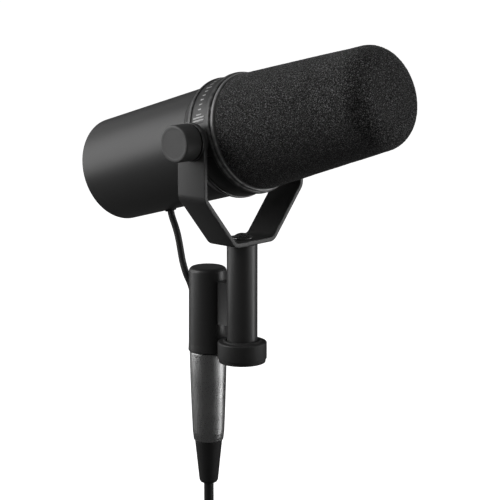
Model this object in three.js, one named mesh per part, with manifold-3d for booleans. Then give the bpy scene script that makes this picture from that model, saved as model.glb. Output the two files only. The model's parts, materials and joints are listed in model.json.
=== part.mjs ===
// End-address broadcast microphone in a yoke, with its own lead, an XLR inlet and the cable plugged into it.
// Millimetres, +Z up. The origin is the centre of the stand nut's bottom face; the address end points to -Y.
import * as THREE from 'three';
import { mergeVertices } from 'three/addons/utils/BufferGeometryUtils.js';
import Module from 'manifold-3d';

const wasm = await Module();
wasm.setup();

// ---------- driving dimensions ----------
const GAP = 0.3; // between pieces that touch
const PIVOT_Z = 117.5; // height of the tilt axis
const TILT = THREE.MathUtils.degToRad(16); // the address end's rise at rest

// Head: distances along its own axis, from the pivot, positive towards the address end.
const HOUSING = { rear: -93, front: -12.3, rearR: 27.5, frontR: 28.6, wall: 1.6, rimR: 0.9, leadHoleR: 3.7 };
const COLLAR = { rear: -12, front: 7.9, r: 31.05, bore: 26.3, lip: -6.2 };
const BAND = { rear: -5.4, front: 5.6, floorR: 29.7, plate: 0.5, end: 8 }; // recesses that end off the pivots
const RING = { rear: 8.2, front: 9.9, r: 30.25, bore: 20.4 };
const FOAM = { rear: 10.2, front: 98.9, rearR: 29.7, frontR: 25.1, round: 10.5, crown: 0.7 };
const FOAM_BORE = { r: 20, end: 81, round: 10 };
const CAGE = { rear: 5.2, front: 79.6, r: 19.6, wall: 1.2, flangeR: 25.9, dome: 9.6 };
const CARTRIDGE = { rear: 40.4, step: 42, front: 58, neckR: 12.5, r: 15.4, capR: 15.2, capFront: 62 };
const TRANSFORMER = { sizeX: 22, sizeY: 21, sizeZ: 18, y: -44 };
const REAR_PLATE = { rear: -91.9, front: -89.9, r: 25.5 };
const SCREW = { circle: 20, angles: [90, 210, 330], proud: 1.1, topR: 1.6, headR: 2.4, shankR: 1.2, deep: 8 };
const SWITCH = { z: 6, travel: 4, width: 3, height: 2.6, clear: 0.4, rear: -92.8, front: -89.5 };
const SWITCH_BODY = { sizeX: 13, sizeY: 4, sizeZ: 6.4, y: -87.2 };
const BOARD = { r: 17, rear: -85.1, front: -83.5 };
const LEAD_EXIT = { y: -61.5, z: -25.5 }; // where the lead's gland sits under the housing

// Plain rings inside the head: inner radius, outer radius, rear, front.
const FRONT_BULKHEAD = [14, 26, 2.6, 4.9];
const ISOLATION_TUBE = [11.6, 13.6, -33, 40.1];
const COUNTER_COIL = [15.8, 17.6, 43, 50];
const FRONT_SHOCK = [15.8, 18.1, 52.5, 56.5];
const REAR_SHOCK = [13.9, 19.7, -22, -17];
const REAR_BULKHEAD = [20, 26.4, -21.5, -18.5];

// Yoke and its pivots: distances from the middle plane.
const STRAP = { thick: 2.3, width: 18.4, armX: 36.9, bendZ: 88.9, footX: 14.5, footZ: 62.4, bendR: 4 };
const STUD_R = 2.9;
const PIVOT_HOLE_R = STUD_R + 0.4;
const BOSS = { r: 6.5, inner: 27, outer: 34.3 };
const KNOB = { r: 9.2, inner: 38.3, outer: 48.6, studEnd: 28.5, edge: 0.7 };
const WASHER_R = 9.7;

// Stand adapter.
const TUBE = { r: 7.9, bore: 5.9, bottom: 6.6, top: 62.1, boreTop: 26.9, boltBore: 2.7, boltDeep: 12 };
const BOLT = { headR: 4.4, domeR: 6.54, domeDrop: 4.84, shankR: 2.4, shankLong: 13.5 };
const BOLT_WASHER = { r: 5.7, bore: 2.8, thick: 0.5 };
const NUT = {
  r: 12.7, footR: 12.1, foot: 1.6, top: 10.8, lip: 11.6, lipR: 9.1, threadR: 7.7,
  edge: 0.7, chamfer: 0.5, clear: 0.4,
};
const NUT_CHAMBER = { r: 10.2, bottom: 6.2, top: 8.9 };

// XLR inlet beside the adapter tube.
const INLET = { y: 24.4, r: 10.25, bottom: 2, top: 46.8, round: 2.5, wall: 1.5, roof: 3 };
const BRACKET = { halfX: 3.2, bottom: 17.9, top: 40.4 };
const INSERT = { r: 8.4, bottom: 16.5, top: 19.2 };
const PIN = {
  r: 1.2, tipR: 0.6, taper: 0.8, circle: 4.6, tip: 4.5, base: 16.2, farLong: 14.7, angles: [30, 150, 270],
};
const GLAND = { r: 3.3, tipR: 2.9, base: 1.9, long: 3.1, clear: 0.35 };
const INLET_GLAND = { z: 27.5, from: 7, base: 4, long: 7.2, holeR: 3.6 }; // the lead's way into the inlet

// Leads and cable.
const LEAD_R = 1.8;
const CABLE_R = 2.6;
const PLUG = { top: 1.6, bottom: -46.7, noseTop: 15.5, noseR: 7.9, wall: 0.9, mouthR: 9.75, endR: 7.85 };
const SLEEVE = {
  bandR: 9.45, band: 14.6, waistR: 8.9, waist: 16.7, lipR: 8.4, lip: 4.7, endWall: 1.2, neck: 7,
};
const SOCKETS = { r: 6.6, bottom: -14, top: 15, deep: 13.5, clear: 0.35 };
const LATCH = {
  z: -9, halfX: 3, halfZ: 4.5, y: 8.2, thick: 4.2, clear: 0.4, shellRoom: [6, 9], insertRoom: [4, 6.4],
};
const BOOT = { top: -47, bottom: -70.3, topR: 7.3, bottomR: 5, neckR: 6.2, neckTop: -41 };
const COIL = { innerR: 16.7, outerR: 38.1, half: 10.6, turnR: 35.45, centreZ: -141, bend: 19 };
const TIE = { lean: -110, thick: 1.3, halfWidth: 5, clear: 1.1 };
const TAIL = { x: 20.75, y: 45.2, top: -156.4 }; // axis and top of the far-end connector
const FAR = { boreR: 7.9, insertR: 7.4, insertTop: -4, insertBottom: -14, pinBase: 3.7 };

// ---------- helpers ----------
const v2 = (x, y) => new THREE.Vector2(x, y);
const v3 = (x, y, z) => new THREE.Vector3(x, y, z);
const radians = THREE.MathUtils.degToRad;
const SIDES = { large: 40, middle: 28, small: 18, tiny: 10 }; // facets round a full turn

function volume(geometry) {
  const p = geometry.attributes.position;
  const index = geometry.index ? geometry.index.array : [...Array(p.count).keys()];
  const [a, b, c] = [v3(), v3(), v3()];
  let sum = 0;
  for (let i = 0; i < index.length; i += 3) {
    a.fromBufferAttribute(p, index[i]);
    b.fromBufferAttribute(p, index[i + 1]);
    c.fromBufferAttribute(p, index[i + 2]);
    sum += a.dot(b.cross(c));
  }
  return sum / 6;
}

// One closed mesh with shared vertices and its faces pointing out.
function clean(geometry) {
  geometry.deleteAttribute('normal');
  geometry.deleteAttribute('uv');
  const merged = mergeVertices(geometry, 1e-4);
  const kept = [];
  const index = merged.index.array;
  for (let i = 0; i < index.length; i += 3) {
    const [a, b, c] = [index[i], index[i + 1], index[i + 2]];
    if (a !== b && b !== c && c !== a) kept.push(a, b, c);
  }
  merged.setIndex(kept);
  if (volume(merged) < 0) {
    for (let i = 0; i < kept.length; i += 3) [kept[i + 1], kept[i + 2]] = [kept[i + 2], kept[i + 1]];
    merged.setIndex(kept);
  }
  return merged;
}

// A solid of revolution about Y. A profile off the axis is closed into a ring.
function turned(points, segments = SIDES.large) {
  const profile = points.map(([r, y]) => v2(r, y));
  const ring = profile[0].x > 0 && profile.at(-1).x > 0;
  if (ring) profile.push(profile[0].clone());
  return clean(new THREE.LatheGeometry(profile, segments));
}

// The same, standing on Z at a point of the floor plan.
function upright(points, segments = SIDES.middle, x = 0, y = 0) {
  return turned(points, segments).rotateX(Math.PI / 2).translate(x, y, 0);
}

// A rod from one place to another along an axis, through the given centre.
function rod(axis, radius, from, to, centre = [0, 0, 0], segments = SIDES.small, endRadius = radius) {
  const geometry = new THREE.CylinderGeometry(endRadius, radius, to - from, segments);
  geometry.translate(0, (from + to) / 2, 0);
  if (axis === 'x') geometry.rotateZ(-Math.PI / 2);
  if (axis === 'z') geometry.rotateX(Math.PI / 2);
  return clean(geometry.translate(...centre));
}

function block(sizeX, sizeY, sizeZ, x, y, z) {
  return clean(new THREE.BoxGeometry(sizeX, sizeY, sizeZ).translate(x, y, z));
}

// Points of an arc about (cx, cy), in degrees, both ends included.
function arc(cx, cy, radius, from, to, steps) {
  return Array.from({ length: steps + 1 }, (_, i) => {
    const angle = radians(from + ((to - from) * i) / steps);
    return [cx + radius * Math.cos(angle), cy + radius * Math.sin(angle)];
  });
}

function solid(geometry) {
  const vertProperties = Float32Array.from(geometry.attributes.position.array);
  const triVerts = Uint32Array.from(geometry.index.array);
  return new wasm.Manifold(new wasm.Mesh({ numProp: 3, vertProperties, triVerts }));
}

function geometryOf(manifold) {
  const mesh = manifold.getMesh();
  const geometry = new THREE.BufferGeometry();
  geometry.setAttribute('position', new THREE.BufferAttribute(mesh.vertProperties, 3));
  geometry.setIndex(new THREE.BufferAttribute(mesh.triVerts, 1));
  return geometry;
}

function cut(geometry, ...tools) {
  return geometryOf(tools.reduce((body, tool) => body.subtract(solid(tool)), solid(geometry)));
}

function common(geometry, other) {
  return geometryOf(solid(geometry).intersect(solid(other)));
}

// A round cord along a smooth curve through hand-chosen points.
function cord(points, radius, sides, steps) {
  const section = new THREE.Shape(
    Array.from({ length: sides }, (_, i) => {
      const angle = (2 * Math.PI * i) / sides;
      return v2(radius * Math.cos(angle), radius * Math.sin(angle));
    }),
  );
  const extrudePath = new THREE.CatmullRomCurve3(points.map((p) => v3(...p)), false, 'centripetal');
  return clean(new THREE.ExtrudeGeometry(section, { steps, extrudePath, bevelEnabled: false }));
}

const finish = (color, roughness, metalness) => ({ color, roughness, metalness });
const FINISH = {
  blackPaint: finish(0x1b1b1c, 0.55, 0.2),
  blackSatin: finish(0x232324, 0.4, 0.3),
  blackRubber: finish(0x151515, 0.85, 0),
  blackPlastic: finish(0x1a1a1a, 0.6, 0),
  foam: finish(0x242424, 0.98, 0),
  steel: finish(0x9a9a98, 0.35, 0.95),
  nickel: finish(0xb5b4b0, 0.35, 0.95),
  aluminium: finish(0xa9abad, 0.4, 0.9),
  board: finish(0x1f4a2c, 0.6, 0),
  copper: finish(0xa8623c, 0.4, 0.8),
  white: finish(0xd8d8d6, 0.6, 0),
  label: finish(0x101010, 0.5, 0.1),
};

function piece(group, name, geometry, look) {
  const mesh = new THREE.Mesh(geometry, new THREE.MeshStandardMaterial(look));
  mesh.name = name;
  group.add(mesh);
}

// ---------- head ----------
function housingRadius(y) {
  const share = (y - HOUSING.rear) / (HOUSING.front - HOUSING.rear);
  return HOUSING.rearR + (HOUSING.frontR - HOUSING.rearR) * share;
}

function bodyHousing() {
  const { rear, front, rearR, frontR, wall, rimR, leadHoleR } = HOUSING;
  const shell = turned([
    [rearR - wall, rear],
    ...arc(rearR - rimR, rear + rimR, rimR, -90, 0, 3),
    [frontR, front],
    [frontR - wall, front],
  ], SIDES.large);
  return cut(shell, rod('z', leadHoleR, -40, -20, [0, LEAD_EXIT.y, 0]));
}

// The flare from the housing's line up to the collar's full radius.
function flare() {
  const steps = 3;
  return Array.from({ length: steps }, (_, i) => {
    const t = i / steps;
    const rise = t * t * (3 - 2 * t);
    const radius = HOUSING.frontR + (COLLAR.r - HOUSING.frontR) * rise;
    return [radius, COLLAR.rear + (COLLAR.lip - COLLAR.rear) * t];
  });
}

function pivotHoles(radius) {
  return rod('x', radius, -40, 40);
}

// The part of a ring that lies above or below the pivots, from a given height outwards.
function bandSector(inner, outer, rear, front, side, end) {
  const ring = turned([[inner, rear], [outer, rear], [outer, front], [inner, front]], SIDES.large);
  const depth = 50;
  return cut(ring, block(100, 40, depth, 0, 0, side * (end - depth / 2)));
}

function collar() {
  const ring = turned([
    [COLLAR.bore, COLLAR.rear],
    ...flare(),
    [COLLAR.r, COLLAR.lip],
    [COLLAR.r, COLLAR.front - 1],
    [COLLAR.r - 0.5, COLLAR.front],
    [COLLAR.bore, COLLAR.front],
  ], SIDES.large);
  const recess = (side) => bandSector(BAND.floorR, COLLAR.r + 4, BAND.rear, BAND.front, side, BAND.end);
  return cut(ring, pivotHoles(BOSS.r + GAP), recess(1), recess(-1));
}

function labelPlate(side) {
  const inner = BAND.floorR + GAP;
  return bandSector(inner, inner + BAND.plate, BAND.rear + GAP, BAND.front - GAP, side, BAND.end + GAP);
}

function retainingRing() {
  const { rear, front, r, bore } = RING;
  return turned([
    [bore, rear],
    [r - 0.5, rear],
    [r, rear + 0.5],
    [r, front - 0.6],
    [r - 0.6, front],
    [bore, front],
  ], SIDES.large);
}

function windscreen() {
  const { rear, front, rearR, frontR, round, crown } = FOAM;
  const bore = FOAM_BORE;
  const shoulder = front - crown - round;
  return turned([
    [0, front],
    [(frontR - round) / 2, front - crown / 4],
    ...arc(frontR - round, shoulder, round, 90, 0, 5),
    [rearR, rear],
    [bore.r, rear],
    ...arc(bore.r - bore.round, bore.end - bore.round, bore.round, 0, 90, 3),
    [0, bore.end],
  ], SIDES.large);
}

function grilleCage() {
  const { rear, front, r, wall, flangeR, dome } = CAGE;
  const flangeTop = COLLAR.front;
  return turned([
    [0, front],
    ...arc(r - dome, front - dome, dome, 90, 0, 3),
    [r, flangeTop],
    [flangeR, flangeTop],
    [flangeR, rear],
    [r - wall, rear],
    ...arc(r - dome, front - dome, dome - wall, 0, 90, 3),
    [0, front - wall],
  ], SIDES.middle);
}

function hollowDisc([innerR, outerR, rear, front]) {
  return turned([[innerR, rear], [outerR, rear], [outerR, front], [innerR, front]], SIDES.small);
}

function solidDisc(radius, rear, front, segments = SIDES.small) {
  return turned([[0, rear], [radius, rear], [radius, front], [0, front]], segments);
}

function cartridge() {
  const { rear, step, front, neckR, r } = CARTRIDGE;
  return turned([[0, rear], [neckR, rear], [neckR, step], [r, step], [r, front], [0, front]], SIDES.small);
}

function cartridgeCap() {
  return solidDisc(CARTRIDGE.capR, CARTRIDGE.front + GAP, CARTRIDGE.capFront);
}

function rearPlate() {
  const { rear, front, r } = REAR_PLATE;
  const windowWidth = SWITCH.width + SWITCH.travel + 2 * SWITCH.clear;
  const windowHeight = SWITCH.height + 2 * SWITCH.clear;
  const middle = (rear + front) / 2;
  const windows = [-1, 1].map((side) => {
    return block(windowWidth, 6, windowHeight, SWITCH.travel / 2, middle, side * SWITCH.z);
  });
  const holes = SCREW.angles.map((angle) => {
    return rod('y', SCREW.shankR + GAP, rear - 2, front + 2, screwPlace(angle), SIDES.tiny);
  });
  return cut(solidDisc(r, rear, front, SIDES.middle), ...windows, ...holes);
}

function screwPlace(degrees) {
  return [SCREW.circle * Math.cos(radians(degrees)), 0, SCREW.circle * Math.sin(radians(degrees))];
}

function rearScrew(angle) {
  const { proud, topR, headR, shankR, deep } = SCREW;
  const plate = REAR_PLATE.rear;
  const seat = plate - GAP;
  return turned([
    [0, plate - proud],
    [topR, plate - proud],
    [headR, seat],
    [shankR, seat],
    [shankR, plate + deep],
    [0, plate + deep],
  ], SIDES.tiny).translate(...screwPlace(angle));
}

function switchSlider(z) {
  const { rear, front, width, height } = SWITCH;
  return block(width, front - rear, height, 0, (rear + front) / 2, z);
}

function switchBody(z) {
  const { sizeX, sizeY, sizeZ, y } = SWITCH_BODY;
  return block(sizeX, sizeY, sizeZ, SWITCH.travel / 2, y, z);
}

// Rubber grommet round a lead: a straight base, a taper and the lead's bore, turned about Y from y = 0.
function gland(base, long) {
  const bore = LEAD_R + GLAND.clear;
  return turned([[bore, 0], [GLAND.r, 0], [GLAND.r, base], [GLAND.tipR, long], [bore, long]], 14);
}

function bodyGland() {
  return gland(GLAND.base, GLAND.long).rotateX(-Math.PI / 2).translate(0, LEAD_EXIT.y, LEAD_EXIT.z);
}

function pivotBoss(side) {
  const hub = rod('x', BOSS.r, BOSS.inner, BOSS.outer);
  const drilled = cut(hub, rod('x', PIVOT_HOLE_R, BOSS.inner - 1, BOSS.outer + 1));
  return side < 0 ? drilled.rotateZ(Math.PI) : drilled;
}

function washer(radius, from, to, side) {
  const disc = cut(rod('x', radius, from, to), rod('x', PIVOT_HOLE_R, from - 1, to + 1));
  return side < 0 ? disc.rotateZ(Math.PI) : disc;
}

function buildHead() {
  const head = new THREE.Group();
  head.position.set(0, 0, PIVOT_Z);
  head.rotation.set(-TILT, 0, Math.PI); // local +Y runs to the address end, local +Z stays up
  piece(head, 'body_housing', bodyHousing(), FINISH.blackPaint);
  piece(head, 'front_collar', collar(), FINISH.blackSatin);
  piece(head, 'label_band_upper', labelPlate(1), FINISH.label);
  piece(head, 'label_band_lower', labelPlate(-1), FINISH.label);
  piece(head, 'retaining_ring', retainingRing(), FINISH.blackSatin);
  piece(head, 'foam_windscreen', windscreen(), FINISH.foam);
  piece(head, 'grille_cage', grilleCage(), FINISH.steel);
  piece(head, 'front_bulkhead', hollowDisc(FRONT_BULKHEAD), FINISH.blackPlastic);
  piece(head, 'isolation_tube', hollowDisc(ISOLATION_TUBE), FINISH.aluminium);
  piece(head, 'cartridge', cartridge(), FINISH.aluminium);
  piece(head, 'cartridge_cap', cartridgeCap(), FINISH.blackPlastic);
  piece(head, 'hum_cancelling_coil', hollowDisc(COUNTER_COIL), FINISH.copper);
  piece(head, 'front_shock_mount', hollowDisc(FRONT_SHOCK), FINISH.blackRubber);
  piece(head, 'rear_shock_mount', hollowDisc(REAR_SHOCK), FINISH.blackRubber);
  piece(head, 'rear_bulkhead', hollowDisc(REAR_BULKHEAD), FINISH.blackPlastic);
  const { sizeX, sizeY, sizeZ, y } = TRANSFORMER;
  piece(head, 'transformer', block(sizeX, sizeY, sizeZ, 0, y, 0), FINISH.steel);
  piece(head, 'switch_board', solidDisc(BOARD.r, BOARD.rear, BOARD.front), FINISH.board);
  piece(head, 'rear_plate', rearPlate(), FINISH.blackPaint);
  for (const [name, side] of [['low_cut', 1], ['presence', -1]]) {
    piece(head, `${name}_slider`, switchSlider(side * SWITCH.z), FINISH.white);
    piece(head, `${name}_switch`, switchBody(side * SWITCH.z), FINISH.blackPlastic);
  }
  SCREW.angles.forEach((angle, i) => piece(head, `rear_screw_${i + 1}`, rearScrew(angle), FINISH.steel));
  piece(head, 'body_lead_gland', bodyGland(), FINISH.blackRubber);
  for (const [name, side] of [['left', 1], ['right', -1]]) {
    piece(head, `pivot_boss_${name}`, pivotBoss(side), FINISH.blackPaint);
  }
  return head;
}

// ---------- yoke and stand adapter ----------
// A polygon with its corners rounded to the given radii.
function roundedOutline(corners) {
  const shape = new THREE.Shape();
  corners.forEach(([x, y, radius], i) => {
    const here = v2(x, y);
    const before = v2(...corners.at(i - 1)).sub(here).normalize();
    const after = v2(...corners[(i + 1) % corners.length]).sub(here).normalize();
    const reach = radius / Math.tan(before.angleTo(after) / 2);
    const start = here.clone().addScaledVector(before, reach);
    const end = here.clone().addScaledVector(after, reach);
    if (i === 0) shape.moveTo(start.x, start.y);
    else shape.lineTo(start.x, start.y);
    if (radius > 0) shape.quadraticCurveTo(x, y, end.x, end.y);
  });
  return shape;
}

function yokeOutline() {
  const { thick, armX, bendZ, footX, footZ, bendR } = STRAP;
  const top = PIVOT_Z + STRAP.width / 2 + 1;
  const slope = Math.atan2(bendZ - footZ, armX - footX);
  const inset = thick * Math.tan((Math.PI / 2 - slope) / 2); // how far a bend's inner corner steps back
  const footInset = thick * Math.tan(slope / 2);
  const outer = [[armX, top, 0], [armX, bendZ, bendR + thick], [footX, footZ, bendR + thick]];
  const inner = [
    [footX - footInset, footZ + thick, bendR],
    [armX - thick, bendZ + inset, bendR],
    [armX - thick, top, 0],
  ];
  const mirrored = (corners) => corners.map(([x, z, r]) => [-x, z, r]).reverse();
  return roundedOutline([...outer, ...mirrored(outer), ...mirrored(inner), ...inner]);
}

// What the strap keeps, seen from the side: its full width with round ends about the pivot.
function strapSilhouette() {
  const half = STRAP.width / 2;
  const shape = new THREE.Shape();
  shape.moveTo(-half, STRAP.footZ - 5);
  shape.lineTo(half, STRAP.footZ - 5);
  shape.lineTo(half, PIVOT_Z);
  shape.absarc(0, PIVOT_Z, half, 0, Math.PI, false);
  const depth = 2 * STRAP.armX + 10;
  const geometry = new THREE.ExtrudeGeometry(shape, { depth, bevelEnabled: false, curveSegments: 8 });
  // the outline's X becomes the world's Y, its Y the world's Z, and the depth runs along X
  return clean(geometry.rotateX(Math.PI / 2).rotateZ(Math.PI / 2).translate(-depth / 2, 0, 0));
}

function yoke() {
  const width = STRAP.width;
  const settings = { depth: width, bevelEnabled: false, curveSegments: 4 };
  const strap = new THREE.ExtrudeGeometry(yokeOutline(), settings);
  const bent = clean(strap.rotateX(Math.PI / 2).translate(0, width / 2, 0));
  const pivotHole = rod('x', PIVOT_HOLE_R, -45, 45, [0, 0, PIVOT_Z]);
  const boltHole = rod('z', BOLT_WASHER.bore, STRAP.footZ - 2, STRAP.footZ + 5);
  return cut(common(bent, strapSilhouette()), pivotHole, boltHole);
}

function knob(side) {
  const { r, inner, outer, studEnd, edge } = KNOB;
  const turnedKnob = turned([
    [0, studEnd],
    [STUD_R, studEnd],
    [STUD_R, inner],
    [r - edge, inner],
    [r, inner + edge],
    [r, outer - edge],
    [r - edge, outer],
    [0, outer],
  ], SIDES.middle);
  return turnedKnob.rotateZ(side > 0 ? -Math.PI / 2 : Math.PI / 2).translate(0, 0, PIVOT_Z);
}

const boltWasherBottom = STRAP.footZ + STRAP.thick + GAP;

function yokeBolt() {
  const { headR, domeR, domeDrop, shankR, shankLong } = BOLT;
  const seat = boltWasherBottom + BOLT_WASHER.thick + GAP;
  const end = seat - shankLong;
  const rim = THREE.MathUtils.radToDeg(Math.acos(headR / domeR));
  const dome = arc(0, seat - domeDrop, domeR, rim, 90, 3).slice(1);
  return upright([[0, end], [shankR, end], [shankR, seat], [headR, seat], ...dome], SIDES.small);
}

function boltWasher() {
  const { r, bore, thick } = BOLT_WASHER;
  const [bottom, top] = [boltWasherBottom, boltWasherBottom + thick];
  return upright([[bore, bottom], [r, bottom], [r, top], [bore, top]], SIDES.small);
}

// Hollow from below for the end of the stand's stud, and drilled from above for the yoke's bolt.
function adapterTube() {
  const { r, bore, bottom, top, boreTop, boltBore, boltDeep } = TUBE;
  return upright([
    [0, boreTop],
    [bore, boreTop],
    [bore, bottom],
    [r, bottom],
    [r, top],
    [boltBore, top],
    [boltBore, top - boltDeep],
    [0, top - boltDeep],
  ]);
}

function retainingFlange() {
  const { bottom: floor, top: roof, r } = NUT_CHAMBER;
  const [bottom, top, outer] = [floor + NUT.clear, roof - NUT.clear, r - NUT.clear];
  return upright([[TUBE.r + GAP, bottom], [outer, bottom], [outer, top], [TUBE.r + GAP, top]], SIDES.middle);
}

function standNut() {
  const { r, footR, foot, top, lip, lipR, threadR, edge, chamfer, clear } = NUT;
  const throat = TUBE.r + clear;
  return upright([
    [threadR, chamfer],
    [threadR + chamfer, 0],
    [footR, 0],
    [footR, foot],
    [r, foot + clear],
    [r, top - edge],
    [r - edge, top],
    [lipR + chamfer, top],
    [lipR, lip],
    [throat, lip],
    [throat, NUT_CHAMBER.top],
    [NUT_CHAMBER.r, NUT_CHAMBER.top],
    [NUT_CHAMBER.r, NUT_CHAMBER.bottom],
    [threadR, NUT_CHAMBER.bottom],
  ]);
}

function buildMount() {
  const mount = new THREE.Group();
  piece(mount, 'yoke', yoke(), FINISH.blackSatin);
  piece(mount, 'knob_left', knob(-1), FINISH.blackPlastic);
  piece(mount, 'knob_right', knob(1), FINISH.blackPlastic);
  const outerWasher = (side) => {
    const flat = washer(WASHER_R, STRAP.armX + GAP, KNOB.inner - GAP, side);
    return flat.translate(0, 0, PIVOT_Z);
  };
  piece(mount, 'knob_washer_left', outerWasher(-1), FINISH.blackRubber);
  piece(mount, 'knob_washer_right', outerWasher(1), FINISH.blackRubber);
  piece(mount, 'yoke_bolt', yokeBolt(), FINISH.blackSatin);
  piece(mount, 'bolt_washer', boltWasher(), FINISH.blackSatin);
  piece(mount, 'adapter_tube', adapterTube(), FINISH.blackPaint);
  piece(mount, 'nut_retaining_flange', retainingFlange(), FINISH.steel);
  piece(mount, 'stand_nut', standNut(), FINISH.blackSatin);
  return mount;
}

// ---------- XLR inlet ----------
function inletHousing() {
  const { y, r, bottom, top, round, wall, roof } = INLET;
  const cup = upright([
    [0, top],
    ...arc(r - round, top - round, round, 90, 0, 3),
    [r, bottom],
    [r - wall, bottom],
    [r - wall, top - roof],
    [0, top - roof],
  ], SIDES.middle, 0, y);
  const glandHole = rod('x', INLET_GLAND.holeR, 4, 14, [0, y, INLET_GLAND.z]);
  return cut(cup, glandHole);
}

function inletBracket() {
  const { halfX, bottom, top } = BRACKET;
  const height = top - bottom;
  const bar = block(2 * halfX, 16, height, 0, 10, bottom + height / 2);
  const tube = rod('z', TUBE.r + GAP, bottom - 1, top + 1, [0, 0, 0], SIDES.middle);
  const housing = rod('z', INLET.r + GAP, bottom - 1, top + 1, [0, INLET.y, 0], SIDES.middle);
  return cut(bar, tube, housing);
}

// The three contacts of a connector whose axis stands at x, y.
function pinPlaces(x, y) {
  return PIN.angles.map((angle) => [
    x + PIN.circle * Math.cos(radians(angle)),
    y + PIN.circle * Math.sin(radians(angle)),
  ]);
}

function inletInsert() {
  const { r, bottom, top } = INSERT;
  return upright([[0, bottom], [r, bottom], [r, top], [0, top]], SIDES.middle, 0, INLET.y);
}

function contactPin([x, y], tip, base) {
  const shoulder = tip - PIN.taper * Math.sign(tip - base);
  const profile = [[0, base], [PIN.r, base], [PIN.r, shoulder], [PIN.tipR, tip], [0, tip]];
  return upright(profile, SIDES.tiny, x, y);
}

function inletGland() {
  const { z, from, base, long } = INLET_GLAND;
  return gland(base, long).rotateZ(-Math.PI / 2).translate(from, INLET.y, z);
}

// From inside the body gland, down behind the inlet, round a slack loop and into the gland on its far side.
function micLead() {
  const [y, z] = [INLET.y, INLET_GLAND.z];
  return cord([
    [0, 51.8, 75.1],
    [0, 50.9, 71.3],
    [0, 49.6, 68.2],
    [0, 48.1, 65.2],
    [0, 46.3, 60.6],
    [0, 45, 55.9],
    [0, 44, 51.5],
    [0, 42.7, 46.5],
    [0, 41.1, 42.4],
    [0.4, 39.9, 39.2],
    [1.2, 38.6, 35.8],
    [2.2, 37.9, 31.5],
    [3.2, 37.9, 25.5],
    [5.2, 38, 19.5],
    [8.8, 37, 14.2],
    [13.6, 34.4, 11.4],
    [18.2, 30.8, 12.6],
    [21.2, 27.4, 17.4],
    [20.8, y + 0.8, 23.2],
    [17.4, y, z - 0.5],
    [10.9, y, z],
  ], LEAD_R, 8, 30);
}

function buildInlet() {
  const inlet = new THREE.Group();
  piece(inlet, 'inlet_housing', inletHousing(), FINISH.blackPaint);
  piece(inlet, 'inlet_bracket', inletBracket(), FINISH.blackPaint);
  piece(inlet, 'inlet_insert', inletInsert(), FINISH.blackPlastic);
  pinPlaces(0, INLET.y).forEach((place, i) => {
    piece(inlet, `inlet_pin_${i + 1}`, contactPin(place, PIN.tip, PIN.base), FINISH.nickel);
  });
  piece(inlet, 'inlet_lead_gland', inletGland(), FINISH.blackRubber);
  piece(inlet, 'mic_lead', micLead(), FINISH.blackRubber);
  return inlet;
}

// ---------- plugged cable ----------
// The metal sleeve shared by both connectors: mouth at the top, cable end at the bottom.
function sleeveProfile() {
  const { top, bottom, mouthR, endR } = PLUG;
  const { bandR, band, waistR, waist, lipR, lip } = SLEEVE;
  return [
    [mouthR, top],
    [bandR, top - band],
    [waistR, bottom + waist],
    [lipR, bottom + lip],
    [endR, bottom],
  ];
}

function plugShell() {
  const { top, bottom, noseTop, noseR, wall, endR } = PLUG;
  const shell = upright([
    [noseR - wall, noseTop],
    [noseR, noseTop - 0.3],
    [noseR, top],
    ...sleeveProfile(),
    [endR - SLEEVE.endWall, bottom],
    [noseR - wall, bottom + SLEEVE.neck],
  ], SIDES.middle, 0, INLET.y);
  return cut(shell, latchRoom(LATCH.shellRoom));
}

// Room round the latch: its depth, and how far out from the plug's axis its middle is.
function latchRoom([depth, out]) {
  const { z, halfX, halfZ, clear } = LATCH;
  return block(2 * (halfX + clear), depth, 2 * (halfZ + clear), 0, INLET.y + out, z);
}

function plugInsert() {
  const { r, bottom, top, deep, clear } = SOCKETS;
  const body = upright([[0, bottom], [r, bottom], [r, top], [0, top]], SIDES.small, 0, INLET.y);
  const sockets = pinPlaces(0, INLET.y).map(([x, y]) => {
    return rod('z', PIN.r + clear, top - deep, top + 1, [x, y, 0], SIDES.tiny);
  });
  return cut(body, ...sockets, latchRoom(LATCH.insertRoom));
}

function plugLatch() {
  const { z, halfX, halfZ, y, thick } = LATCH;
  return block(2 * halfX, thick, 2 * halfZ, 0, INLET.y + y, z);
}

// Rubber boot, written for the plug: neck inside the sleeve, tapering down the cable.
function bootProfile() {
  const { top, bottom, topR, bottomR, neckR, neckTop } = BOOT;
  const bore = CABLE_R + GAP;
  return [
    [bore, neckTop],
    [neckR, neckTop],
    [neckR, top],
    [topR, top],
    [bottomR, bottom + 1.5],
    [bottomR - 1.2, bottom],
    [bore, bottom],
  ];
}

function plugBoot() {
  return upright(bootProfile(), SIDES.small, 0, INLET.y);
}

// The cable drops straight, then bends to meet the coil's outer turn.
function cableDrop() {
  const { turnR, centreZ, bend } = COIL;
  const turnIn = Math.asin(bend / (turnR + bend));
  const bendZ = centreZ + (turnR + bend) * Math.cos(turnIn);
  const start = BOOT.bottom - GAP;
  const straight = [0, 0.33, 0.66].map((t) => [0, INLET.y, start + (bendZ - start) * t]);
  const sweep = [0, 8, 16, 24, 32].map((degrees) => {
    const angle = radians(degrees);
    return [bend * (1 - Math.cos(angle)), INLET.y, bendZ - bend * Math.sin(angle)];
  });
  return cord([...straight, ...sweep], CABLE_R, 10, 12);
}

function cableCoil() {
  const { innerR, outerR, half, centreZ } = COIL;
  const edge = 2.3;
  const ring = turned([
    [innerR + edge, -half],
    [outerR - edge, -half],
    [outerR, -half + edge],
    [outerR, half - edge],
    [outerR - edge, half],
    [innerR + edge, half],
    [innerR, half - edge],
    [innerR, -half + edge],
  ], SIDES.middle);
  return ring.translate(0, INLET.y, centreZ);
}

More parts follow.
